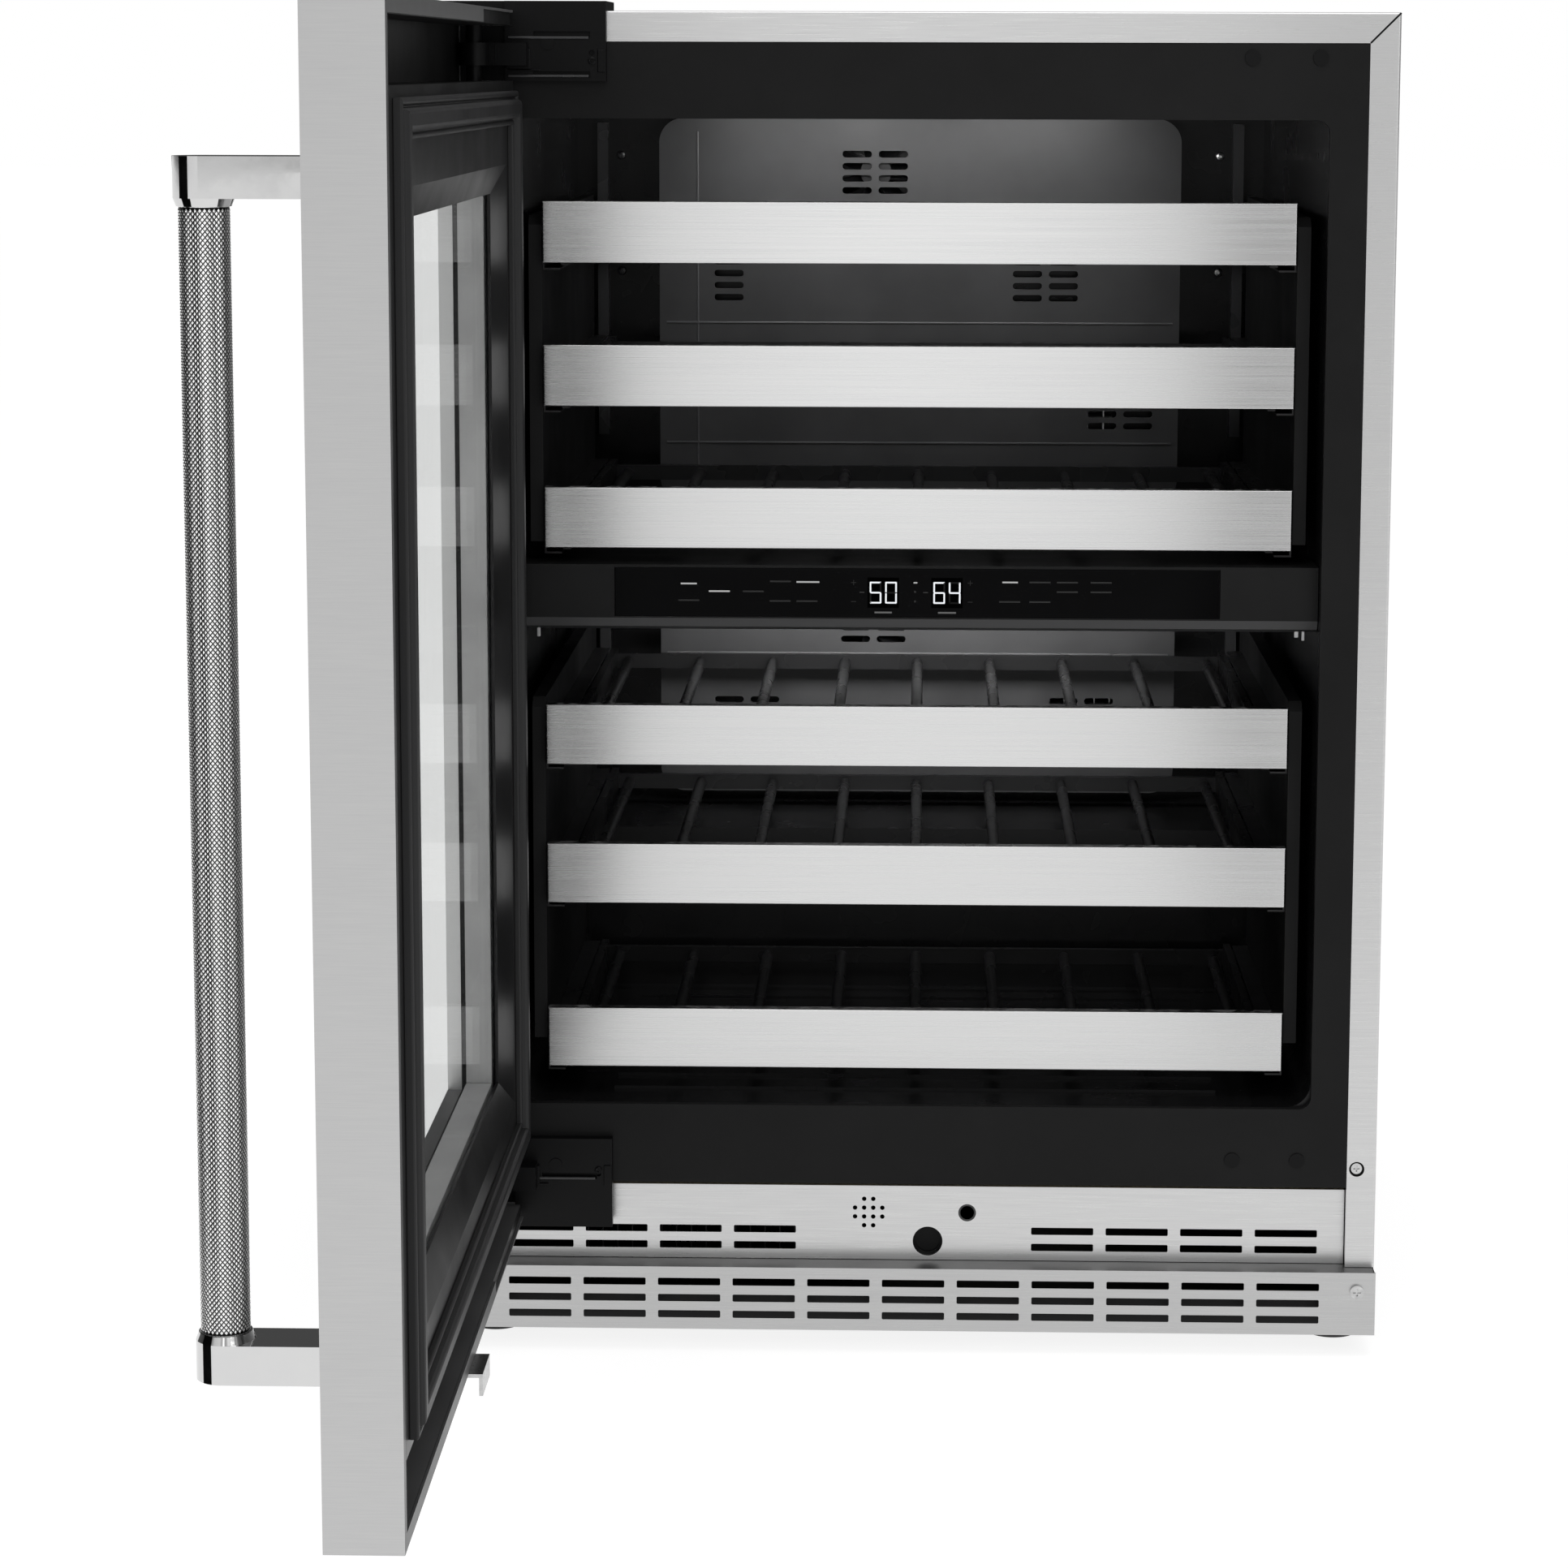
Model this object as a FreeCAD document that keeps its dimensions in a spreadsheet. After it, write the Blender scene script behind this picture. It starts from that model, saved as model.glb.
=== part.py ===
import FreeCAD, Part
import math
import os

import Sketcher

# Dual-zone built-in wine cooler with its door hinged on the left and standing open at 90 degrees.
# X runs to the right, Y to the back and Z up.  The origin is on the floor, in the middle of the
# cabinet's width, in the plane of its front trim.  All sizes are in millimetres.

doc = FreeCAD.newDocument("WineCooler")
sheet = doc.addObject("Spreadsheet::Sheet", "Dims")
sub_parts = []


# ---------------------------------------------------------------- sizes that stay bound to the sheet
class Size:
    """A length: its value now, and the expression that keeps it tied to the sheet."""

    def __init__(self, value, text):
        self.value = value
        self.text = text

    def _joined(self, other, sign, value):
        return Size(value, f"({self.text} {sign} {as_size(other).text})")

    def __add__(self, other):
        return self._joined(other, "+", self.value + as_size(other).value)

    def __sub__(self, other):
        return self._joined(other, "-", self.value - as_size(other).value)

    def __mul__(self, other):
        return self._joined(other, "*", self.value * as_size(other).value)

    def __truediv__(self, other):
        return self._joined(other, "/", self.value / as_size(other).value)

    def __radd__(self, other):
        return as_size(other) + self

    def __rsub__(self, other):
        return as_size(other) - self

    def __rmul__(self, other):
        return as_size(other) * self

    def __neg__(self):
        return Size(-self.value, f"(-1 * {self.text})")


def as_size(number):
    if isinstance(number, Size):
        return number
    return Size(float(number), f"({number})" if number < 0 else f"{number}")


row_count = 0


def dim(alias, value):
    """Put one driving dimension in the sheet and return it as a Size."""
    global row_count
    row_count += 1
    sheet.set(f"A{row_count}", alias)
    sheet.set(f"B{row_count}", str(value))
    sheet.setAlias(f"B{row_count}", alias)
    return Size(float(value), f"Dims.{alias}")


# cabinet
case_width = dim("case_width", 606)
case_depth = dim("case_depth", 553)
case_height = dim("case_height", 873)
base_height = dim("base_height", 15)
sheet_metal = dim("sheet_metal", 1)
trim_width = dim("trim_width", 19.2)
trim_thick = dim("trim_thick", 4)
frame_back = dim("frame_back", 6)
frame_recess = dim("frame_recess", 0.4)
wall_gap = dim("wall_gap", 0.2)

# cavity
cavity_width = dim("cavity_width", 519)
cavity_floor = dim("cavity_floor", 163.4)
cavity_ceiling = dim("cavity_ceiling", 805.5)
cavity_back = dim("cavity_back", 490)
cavity_round = dim("cavity_round", 16)
step_front = dim("step_front", 345)
step_top = dim("step_top", 282)
liner_wall = dim("liner_wall", 3)
foam_thick = dim("foam_thick", 46)
lower_bar_bottom = dim("lower_bar_bottom", 110.8)

# grilles below the door
grille_top = dim("grille_top", 107.3)
kick_top = dim("kick_top", 57)
grille_recess = dim("grille_recess", 8)
kick_proud = dim("kick_proud", 12)
grille_thick = dim("grille_thick", 1.2)
vent_width = dim("vent_width", 41)
vent_height = dim("vent_height", 4.9)
vent_pitch = dim("vent_pitch", 49.1)
vent_rise = dim("vent_rise", 11)
vent_round = dim("vent_round", 0.9)
vent_left = dim("vent_left", -266)
vent_right = dim("vent_right", 77.7)
sound_hole = dim("sound_hole", 3)
sound_pitch = dim("sound_pitch", 6)
sensor_hole = dim("sensor_hole", 11.7)
kick_screw_across = dim("kick_screw_across", 290.6)
kick_screw_height = dim("kick_screw_height", 44.4)
trim_screw_across = dim("trim_screw_across", 290.3)
trim_screw_height = dim("trim_screw_height", 123.5)
kick_vent_low = dim("kick_vent_low", 22.5)
grille_vent_low = dim("grille_vent_low", 63.8)
lock_across = dim("lock_across", 9.4)
lock_height = dim("lock_height", 69.9)
lock_bore = dim("lock_bore", 19.7)

# door
door_width = dim("door_width", 603)
door_thick = dim("door_thick", 42)
door_bottom = dim("door_bottom", 90)
door_skin = dim("door_skin", 1.5)
door_lip = dim("door_lip", 9)
lip_stop = dim("lip_stop", 172)
hinge_corner = dim("hinge_corner", 6)
gasket_proud = dim("gasket_proud", 8)
gasket_width = dim("gasket_width", 21)
gasket_half = dim("gasket_half", 279)
gasket_low = dim("gasket_low", 143)
gasket_high = dim("gasket_high", 823)
seal_gap = dim("seal_gap", 0.3)
pivot_inset = dim("pivot_inset", 22.55)
pivot_depth = dim("pivot_depth", 22.95)
channel_depth = dim("channel_depth", 34)
top_channel_low = dim("top_channel_low", 829)
top_channel_high = dim("top_channel_high", 863.5)
low_channel_low = dim("low_channel_low", 99)
low_channel_high = dim("low_channel_high", 137)
glass_half = dim("glass_half", 210)
glass_low = dim("glass_low", 203)
glass_high = dim("glass_high", 761)
glass_hold = dim("glass_hold", 12)
bevel_half = dim("bevel_half", 250)
bevel_low = dim("bevel_low", 180)
bevel_high = dim("bevel_high", 778)
bevel_depth = dim("bevel_depth", 6)
pane_thick = dim("pane_thick", 4)
pane_gap = dim("pane_gap", 16)

# hinges
plate_right = dim("plate_right", -198)
plate_step = dim("plate_step", -262)
plate_thin = dim("plate_thin", 2)
plate_deep = dim("plate_deep", 7)
pin_diameter = dim("pin_diameter", 10)
pin_play = dim("pin_play", 0.05)
arm_radius = dim("arm_radius", 9.5)
arm_right = dim("arm_right", -247)
top_arm_low = dim("top_arm_low", 838.6)
top_arm_high = dim("top_arm_high", 852.7)
low_arm_low = dim("low_arm_low", 110)
low_arm_high = dim("low_arm_high", 126)
low_plate_low = dim("low_plate_low", 82)
low_plate_high = dim("low_plate_high", 141.5)
hinge_cap = dim("hinge_cap", 6)

# handle
grip_diameter = dim("grip_diameter", 25.4)
handle_reach = dim("handle_reach", 51)
handle_inset = dim("handle_inset", 22)
handle_low = dim("handle_low", 176.4)
handle_high = dim("handle_high", 794.8)
bracket_height = dim("bracket_height", 20.6)
bracket_width = dim("bracket_width", 30.4)
collar_height = dim("collar_height", 4)
collar_tip = dim("collar_tip", 13.6)
collar_sink = dim("collar_sink", 1)

# racks
rack_width = dim("rack_width", 484.6)
rack_face = dim("rack_face", 25)
rack_trim_thick = dim("rack_trim_thick", 8.5)
rack_trim_height = dim("rack_trim_height", 39.6)
rack_back = dim("rack_back", 432)
short_rack_back = dim("short_rack_back", 330)
rack_pitch = dim("rack_pitch", 92.4)
upper_rack_low = dim("upper_rack_low", 712.8)
middle_rack_low = dim("middle_rack_low", 385.1)
bottom_rack_low = dim("bottom_rack_low", 182.2)
rod_diameter = dim("rod_diameter", 8)
rod_pitch = dim("rod_pitch", 54.4)
rod_lift = dim("rod_lift", 8)
rail_half = dim("rail_half", 226)
plate_half = dim("plate_half", 243.4)
plate_wide = dim("plate_wide", 8.5)
upper_plate_low = dim("upper_plate_low", 531.5)
upper_plate_high = dim("upper_plate_high", 743)
lower_plate_low = dim("lower_plate_low", 200)
lower_plate_high = dim("lower_plate_high", 428)

# control bar between the two zones
bar_low = dim("bar_low", 475)
bar_high = dim("bar_high", 518.8)
bar_front = dim("bar_front", 14)
bar_back = dim("bar_back", 60)
panel_half = dim("panel_half", 196)
panel_low = dim("panel_low", 485)
panel_high = dim("panel_high", 517)
shelf_low = dim("shelf_low", 488)
shelf_high = dim("shelf_high", 506)

# feet, fans and plug holes
foot_diameter = dim("foot_diameter", 38)
foot_across = dim("foot_across", 280)
foot_front = dim("foot_front", 45)
foot_rear = dim("foot_rear", 505)
stud_diameter = dim("stud_diameter", 8)
fan_radius = dim("fan_radius", 38)
fan_across = dim("fan_across", -33)
duct_front = dim("duct_front", 452)
duct_half = dim("duct_half", 195)
upper_duct_low = dim("upper_duct_low", 512)
upper_duct_high = dim("upper_duct_high", 800)
lower_duct_low = dim("lower_duct_low", 290)
lower_duct_high = dim("lower_duct_high", 484)
light_across = dim("light_across", 240)
doc.recompute()

# places worked out from the sheet
half = case_width / 2
trim_inner = half - trim_width
cavity_half = cavity_width / 2
pivot_x = pivot_inset - door_width / 2
pivot_y = -(seal_gap + gasket_proud + pivot_depth)
door_inner = pivot_x + pivot_depth
door_outer = door_inner - door_thick
door_hinge_y = pivot_y + pivot_inset
door_free_y = door_hinge_y - door_width
door_mid_y = door_hinge_y - door_width / 2
channel_floor = door_inner - channel_depth
inner_pane = door_inner - bevel_depth - 2
outer_pane = inner_pane - pane_thick - pane_gap
handle_x = door_outer - handle_reach
handle_y = door_free_y + handle_inset
rack_lows = [
    upper_rack_low,
    upper_rack_low - rack_pitch,
    upper_rack_low - 2 * rack_pitch,
    middle_rack_low,
    middle_rack_low - rack_pitch,
    bottom_rack_low,
]
rack_backs = [rack_back] * 5 + [short_rack_back]


# ---------------------------------------------------------------- helpers
def bind(thing, **sizes):
    for name, size in sizes.items():
        thing.setExpression(name, as_size(size).text)


def place(thing, x=0, y=0, z=0, rotation=None):
    """Put an object at a place bound to the sheet, turned if a rotation is given."""
    spot = [as_size(v) for v in (x, y, z)]
    turn = rotation or FreeCAD.Rotation()
    thing.Placement = FreeCAD.Placement(FreeCAD.Vector(*[v.value for v in spot]), turn)
    for axis, size in zip("xyz", spot):
        thing.setExpression(f".Placement.Base.{axis}", size.text)


def block(name, x, y, z):
    """A box between the pairs of values given for each axis."""
    box = doc.addObject("Part::Box", name)
    bind(box, Length=x[1] - x[0], Width=y[1] - y[0], Height=z[1] - z[0])
    place(box, x[0], y[0], z[0])
    return box


TURNS = {
    "z": FreeCAD.Rotation(),
    "x": FreeCAD.Rotation(FreeCAD.Vector(0, 1, 0), 90),
    "y": FreeCAD.Rotation(FreeCAD.Vector(1, 0, 0), -90),
}


def rod(name, axis, at, radius, length):
    """A cylinder that starts at a point and runs along the positive axis."""
    cylinder = doc.addObject("Part::Cylinder", name)
    bind(cylinder, Radius=radius, Height=length)
    place(cylinder, *at, rotation=TURNS[axis])
    return cylinder


def cone(name, at, low_radius, high_radius, height):
    """An upright cone with its own radius at each end."""
    made = doc.addObject("Part::Cone", name)
    bind(made, Radius1=low_radius, Radius2=high_radius, Height=height)
    place(made, *at)
    return made


def fuse(name, *shapes):
    joined = doc.addObject("Part::MultiFuse", name)
    joined.Shapes = list(shapes)
    joined.Refine = True
    return joined


def cut(name, base, *tools):
    result = doc.addObject("Part::Cut", name)
    result.Base = base
    result.Tool = tools[0] if len(tools) == 1 else fuse(name + "Tools", *tools)
    result.Refine = True
    return result


def group(name, *solids):
    compound = doc.addObject("Part::Compound", name)
    compound.Links = list(solids)
    return compound


def sub_part(node, thing):
    """Name a finished object as a sub-part; its label is also its file's name."""
    thing.Label = node
    sub_parts.append(thing)
    return thing


def new_body(name):
    return doc.addObject("PartDesign::Body", name)


def sketch(body, name, role, offset=0):
    """A sketch on one of the body's own origin planes, moved along the plane's normal."""
    plane = next(f for f in body.Origin.OriginFeatures if f.Role == role)
    made = body.newObject("Sketcher::SketchObject", name)
    made.AttachmentSupport = (plane, [""])
    made.MapMode = "FlatFace"
    made.setExpression(".AttachmentOffset.Base.z", as_size(offset).text)
    return made


def hold(made, kind, geometry, point, size):
    """Constrain a point's distance from the sketch origin to a Size."""
    size = as_size(size)
    index = made.addConstraint(Sketcher.Constraint(kind, -1, 1, geometry, point, size.value))
    made.setExpression(f"Constraints[{index}]", size.text)


def polygon(made, points):
    """A closed outline whose corners are all bound to the sheet."""
    first = made.GeometryCount
    spots = [[as_size(v) for v in point] for point in points]
    ends = [FreeCAD.Vector(u.value, v.value, 0) for u, v in spots]
    count = len(ends)
    for i in range(count):
        made.addGeometry(Part.LineSegment(ends[i], ends[(i + 1) % count]))
    for i in range(count):
        made.addConstraint(
            Sketcher.Constraint("Coincident", first + i, 2, first + (i + 1) % count, 1))
    for i, (u, v) in enumerate(spots):
        hold(made, "DistanceX", first + i, 1, u)
        hold(made, "DistanceY", first + i, 1, v)


def rectangle(made, u, v):
    polygon(made, [(u[0], v[0]), (u[1], v[0]), (u[1], v[1]), (u[0], v[1])])


def rounded(made, u, v, radius):
    """A rectangle with rounded corners."""
    n = made.GeometryCount
    u0, u1 = (as_size(w).value for w in u)
    v0, v1 = (as_size(w).value for w in v)
    r = as_size(radius).value
    corners = [(u1 - r, v0 + r), (u1 - r, v1 - r), (u0 + r, v1 - r), (u0 + r, v0 + r)]
    sides = [((u0 + r, v0), (u1 - r, v0)), ((u1, v0 + r), (u1, v1 - r)),
             ((u1 - r, v1), (u0 + r, v1)), ((u0, v1 - r), (u0, v0 + r))]
    normal = FreeCAD.Vector(0, 0, 1)
    for i in range(4):
        start, end = (FreeCAD.Vector(*p, 0) for p in sides[i])
        made.addGeometry(Part.LineSegment(start, end))
        circle = Part.Circle(FreeCAD.Vector(*corners[i], 0), normal, r)
        turn = math.pi / 2 * (i - 1)
        made.addGeometry(Part.ArcOfCircle(circle, turn, turn + math.pi / 2))
    for i in range(4):
        line, arc, after = n + 2 * i, n + 2 * i + 1, n + (2 * i + 2) % 8
        made.addConstraint(Sketcher.Constraint("Tangent", line, 2, arc, 1))
        made.addConstraint(Sketcher.Constraint("Tangent", arc, 2, after, 1))
        made.addConstraint(Sketcher.Constraint("Horizontal" if i % 2 == 0 else "Vertical", line))
        if i:
            made.addConstraint(Sketcher.Constraint("Equal", n + 1, arc))
    index = made.addConstraint(Sketcher.Constraint("Radius", n + 1, r))
    made.setExpression(f"Constraints[{index}]", as_size(radius).text)
    hold(made, "DistanceY", n, 1, v[0])
    hold(made, "DistanceX", n + 2, 1, u[1])
    hold(made, "DistanceY", n + 4, 1, v[1])
    hold(made, "DistanceX", n + 6, 1, u[0])


def circle(made, u, v, diameter):
    spot = [as_size(w).value for w in (u, v)]
    size = as_size(diameter)
    made.addGeometry(Part.Circle(FreeCAD.Vector(*spot, 0), FreeCAD.Vector(0, 0, 1), size.value / 2))
    n = made.GeometryCount - 1
    hold(made, "DistanceX", n, 3, u)
    hold(made, "DistanceY", n, 3, v)
    index = made.addConstraint(Sketcher.Constraint("Diameter", n, size.value))
    made.setExpression(f"Constraints[{index}]", size.text)


def pad(body, profile, length):
    made = body.newObject("PartDesign::Pad", profile.Name + "Pad")
    made.Profile = profile
    bind(made, Length=length)
    return made


def through(body, profile):
    """Cut a profile through the whole body, and make sure that it removes something."""
    doc.recompute()
    before = body.Shape.Volume
    made = body.newObject("PartDesign::Pocket", profile.Name + "Cut")
    made.Profile = profile
    made.Type = "ThroughAll"
    made.Midplane = True
    doc.recompute()
    if body.Shape.Volume > before - 1e-3:
        raise RuntimeError(f"{made.Name} cuts nothing")
    return made


def repeat(body, feature, profile, columns, across, rows=1, up=0):
    """Repeat a cut in columns along the sketch's first axis, and rows along its second."""
    made = body.newObject("PartDesign::LinearPattern", feature.Name + "Pattern")
    made.Originals = [feature]
    made.Direction = (profile, ["H_Axis"])
    made.Occurrences = columns
    bind(made, Length=as_size(across) * (columns - 1))
    if rows > 1:
        made.Direction2 = (profile, ["V_Axis"])
        made.Occurrences2 = rows
        bind(made, Length2=as_size(up) * (rows - 1))
    body.Tip = made
    doc.recompute()
    return made


def soften(body, feature, radius, wanted, kind="PartDesign::Fillet"):
    """Round or chamfer the edges of a feature for which wanted(edge) holds."""
    doc.recompute()
    names = [f"Edge{i + 1}" for i, e in enumerate(feature.Shape.Edges) if wanted(e)]
    made = body.newObject(kind, feature.Name + "Soft")
    made.Base = (feature, names)
    bind(made, **({"Radius": radius} if kind.endswith("Fillet") else {"Size": radius}))
    body.Tip = made
    doc.recompute()
    return made


def runs_along(edge, axis):
    """Whether a straight edge lies along the axis with that index."""
    if edge.Curve.TypeId != "Part::GeomLine":
        return False
    return abs(abs(edge.tangentAt(edge.FirstParameter)[axis]) - 1) < 1e-6


def front_plate(name, y_front, thick, outline):
    """A body that faces the front: outline(sketch) is drawn in X and Z."""
    body = new_body(name)
    face = sketch(body, name + "Face", "XZ_Plane", -(as_size(y_front) + thick))
    outline(face)
    return body, pad(body, face, thick)


def hole_in(body, name, outline, y_at=0):
    profile = sketch(body, name, "XZ_Plane", -as_size(y_at))
    outline(profile)
    return profile, through(body, profile)


def mirrored_in_x(name, thing):
    """A copy of an object, mirrored left to right about the middle of the cabinet."""
    made = doc.addObject("Part::Mirroring", name)
    made.Source = thing
    made.Normal = FreeCAD.Vector(1, 0, 0)
    return made


# ---------------------------------------------------------------- cabinet shell
def cabinet_shell():
    side = (-half, half)
    inside = (-half + sheet_metal, half - sheet_metal)
    wrapper = block("CaseOuter", side, (trim_thick, case_depth), (base_height, case_height))
    hollow = block("CaseHollow", inside, (trim_thick - 1, case_depth + 1),
                   (base_height - 1, case_height - sheet_metal))
    sub_part("outer_case", cut("CaseSheet", wrapper, hollow))

    body, _ = front_plate(
        "BackPanel", case_depth - sheet_metal, sheet_metal,
        lambda s: rectangle(s, inside, (base_height, case_height - sheet_metal)))
    louvre, louvre_cut = hole_in(
        body, "BackLouvre", lambda s: rounded(s, (-230, -150), (50, 56), 2.9))
    repeat(body, louvre_cut, louvre, 4, 95, 9, 14)
    hole_in(body, "CordHole", lambda s: circle(s, 235, 60, 16))
    sub_part("back_panel", body)

    plate = block("BasePlate", inside, (trim_thick + 0.5, case_depth - sheet_metal),
                  (base_height, base_height + 2))
    lip = block("BaseLip", inside, (trim_thick + 0.5, trim_thick + 2.5),
                (base_height, base_height + 24))
    sockets = []
    bores = []
    for i, (x, y) in enumerate(foot_places()):
        sockets.append(rod(f"FootSocket{i}", "z", (x, y, base_height), 11, 24))
        bores.append(rod(f"FootBore{i}", "z", (x, y, base_height - 1),
                         stud_diameter / 2 + pin_play, 26))
    pan = fuse("BasePan", plate, lip, *sockets)
    sub_part("base_pan", cut("BasePanBored", pan, *bores))


def foot_places():
    return [(-foot_across, foot_front), (foot_across, foot_front),
            (-foot_across, foot_rear), (foot_across, foot_rear)]


def liner_and_foam():
    """The moulded cavity with the step over the compressor, and the foam round it."""
    w = liner_wall
    wide = (-cavity_half - w, cavity_half + w)
    tall = block("LinerTall", wide, (frame_back, cavity_back + w), (step_top - w, cavity_ceiling + w))
    low = block("LinerLow", wide, (frame_back, step_front + w), (cavity_floor - w, step_top))
    outer = fuse("LinerOuter", tall, low)
    open_front = frame_back - 1
    room = (-cavity_half, cavity_half)
    upper_room = block("RoomTall", room, (open_front, cavity_back), (step_top, cavity_ceiling))
    lower_room = block("RoomLow", room, (open_front, step_front), (cavity_floor, cavity_ceiling))
    space = fuse("Room", upper_room, lower_room)
    doc.recompute()
    rounded_room = doc.addObject("Part::Fillet", "RoomRounded")
    rounded_room.Base = space
    floor_z = cavity_floor.value
    picks = [i + 1 for i, e in enumerate(space.Shape.Edges)
             if runs_along(e, 1) and abs(e.CenterOfMass.z - floor_z) < 0.01]
    rounded_room.Edges = [(i, cavity_round.value, cavity_round.value) for i in picks]
    ribs = [block(f"FloorRib{i}", (-200, 200), (y, y + 4), (cavity_floor - 1, cavity_floor + 2))
            for i, y in enumerate((40, 75, 110, 300))]
    shell = cut("LinerWalls", outer, rounded_room)
    sub_part("inner_liner", fuse("Liner", shell, *ribs))

    inside = (-half + sheet_metal + wall_gap, half - sheet_metal - wall_gap)
    foam_floor = cavity_floor - foam_thick
    foam_step = step_top - foam_thick
    above = block("FoamAbove", inside, (frame_back + wall_gap, case_depth - sheet_metal - wall_gap),
                  (foam_step, case_height - sheet_metal - wall_gap))
    below = block("FoamBelow", inside, (frame_back + wall_gap, step_front + foam_thick),
                  (foam_floor, foam_step))
    sub_part("insulation_foam", cut("Foam", fuse("FoamBlock", above, below), outer))


def front_trim():
    """Stainless trim, mitred at the top corners, round the black front frame."""
    top = case_height - trim_width
    mitre = 0.35

    def side_outline(s):
        polygon(s, [(trim_inner, kick_top + 0.3), (half, kick_top + 0.3),
                    (half, case_height - mitre), (trim_inner, top - mitre)])

    def top_outline(s):
        polygon(s, [(-trim_inner, top), (trim_inner, top), (half - mitre, case_height),
                    (mitre - half, case_height)])

    bar, feature = front_plate("TrimTop", 0, trim_thick, top_outline)
    soften(bar, feature, 1.5, lambda e: runs_along(e, 0) and e.CenterOfMass.y < 0.01
           and e.CenterOfMass.z > top.value + 1)
    sub_part("trim_top", bar)
    right, feature = front_plate("TrimSide", 0, trim_thick, side_outline)
    soften(right, feature, 1.5, lambda e: runs_along(e, 2) and e.CenterOfMass.y < 0.01
           and e.CenterOfMass.x > trim_inner.value + 1)
    hole_in(right, "TrimScrewHole", lambda s: circle(s, trim_screw_across, trim_screw_height, 10))
    sub_part("trim_right", right)
    sub_part("trim_left", mirrored_in_x("TrimLeft", right))

    hole_low = cavity_floor
    body, _ = front_plate(
        "FrameFace", frame_recess, trim_thick - frame_recess,
        lambda s: rectangle(s, (0.2 - trim_inner, trim_inner - 0.2), (lower_bar_bottom, top - 0.2)))
    flange = sketch(body, "FrameFlange", "XZ_Plane", -frame_back)
    rectangle(flange, (-half + sheet_metal + wall_gap, half - sheet_metal - wall_gap),
              (lower_bar_bottom, case_height - sheet_metal - wall_gap))
    pad(body, flange, frame_back - trim_thick)
    hole_in(body, "FrameOpening", lambda s: rounded(
        s, (-cavity_half, cavity_half), (hole_low, cavity_ceiling), 8))
    sub_part("front_frame", body)

    plugs = [rod(f"Plug{i}", "y", (x, -0.6, z), 5, frame_recess + 0.6)
             for i, (x, z) in enumerate(((210, 844.4), (253, 844.4), (208.5, 128.8), (251, 128.8)))]
    sub_part("hole_plugs", group("Plugs", *plugs))


# ---------------------------------------------------------------- grilles and fasteners
def upper_grille():
    body, _ = front_plate(
        "Grille", grille_recess, grille_thick,
        lambda s: rectangle(s, (0.3 - trim_inner, trim_inner - 0.3), (kick_top + 0.3, grille_top)))
    top_bend = sketch(body, "GrilleBend", "XZ_Plane", -(grille_recess + 14))
    rectangle(top_bend, (0.3 - trim_inner, trim_inner - 0.3), (grille_top - grille_thick, grille_top))
    pad(body, top_bend, 14)
    sleeve = sketch(body, "LockSleeve", "XZ_Plane", -(grille_recess + 26))
    circle(sleeve, lock_across, lock_height, lock_bore + 4)
    pad(body, sleeve, 26 - grille_thick / 2)
    hole_in(body, "LockHole", lambda s: circle(s, lock_across, lock_height, lock_bore))
    for side, start in (("Left", vent_left), ("Right", vent_right)):
        vent, vent_cut = hole_in(
            body, f"Vent{side}", lambda s, x=start: rounded(
                s, (x, x + vent_width), (grille_vent_low, grille_vent_low + vent_height), vent_round),
            grille_recess)
        repeat(body, vent_cut, vent, 4, vent_pitch, 2, vent_rise)
    for i, columns in enumerate((2, 4, 4, 2)):
        spot = (sound_pitch * (1 - columns) / 2 - 29.6, 98.3 - i * sound_pitch)
        row, row_cut = hole_in(
            body, f"Sound{i}", lambda s, at=spot: circle(s, *at, sound_hole), grille_recess)
        repeat(body, row_cut, row, columns, sound_pitch)
    hole_in(body, "SensorHole", lambda s: circle(s, 35.4, 89.4, sensor_hole), grille_recess)
    sub_part("upper_grille", body)


def toe_kick():
    wide = (-half + 0.2, half - 0.2)
    body, _ = front_plate("Kick", -kick_proud, grille_thick,
                          lambda s: rectangle(s, wide, (base_height - 0.2, kick_top)))
    ledge = sketch(body, "KickLedge", "XZ_Plane", -grille_recess)
    rectangle(ledge, (-half + 1.3, half - 1.3), (kick_top - grille_thick, kick_top))
    pad(body, ledge, grille_recess + kick_proud - grille_thick)
    for side, u in (("Left", (-half + 0.2, -half + 1.4)), ("Right", (half - 1.4, half - 0.2))):
        cheek = sketch(body, f"KickCheek{side}", "XZ_Plane", -(trim_thick - 0.2))
        rectangle(cheek, u, (base_height - 0.2, kick_top - grille_thick))
        pad(body, cheek, trim_thick - 0.2 + kick_proud - grille_thick)
    vent, vent_cut = hole_in(body, "KickVent", lambda s: rounded(
        s, (vent_left, vent_left + vent_width), (kick_vent_low, kick_vent_low + vent_height),
        vent_round), -kick_proud)
    repeat(body, vent_cut, vent, 11, vent_pitch, 3, vent_rise)
    for side in (-1, 1):
        hole_in(body, f"KickScrewHole{'L' if side < 0 else 'R'}",
                lambda s, k=side: circle(s, kick_screw_across * k, kick_screw_height, 4.4), -kick_proud)
    sub_part("toe_kick_grille", body)


def cross_screw(name, x, z, front, head, thick, shank, long):
    """A pan-head screw with a cross recess, driven in from the front."""
    pan = rod(name + "Head", "y", (x, front, z), head / 2, thick)
    stem = rod(name + "Shank", "y", (x, front + thick / 2, z), shank / 2, long)
    slots = [block(f"{name}Slot{i}", (x - a, x + a), (front - 1, front + thick * 0.55), (z - b, z + b))
             for i, (a, b) in enumerate(((head * 0.28, head * 0.07), (head * 0.07, head * 0.28)))]
    return cut(name, fuse(name + "Body", pan, stem), *slots)


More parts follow.
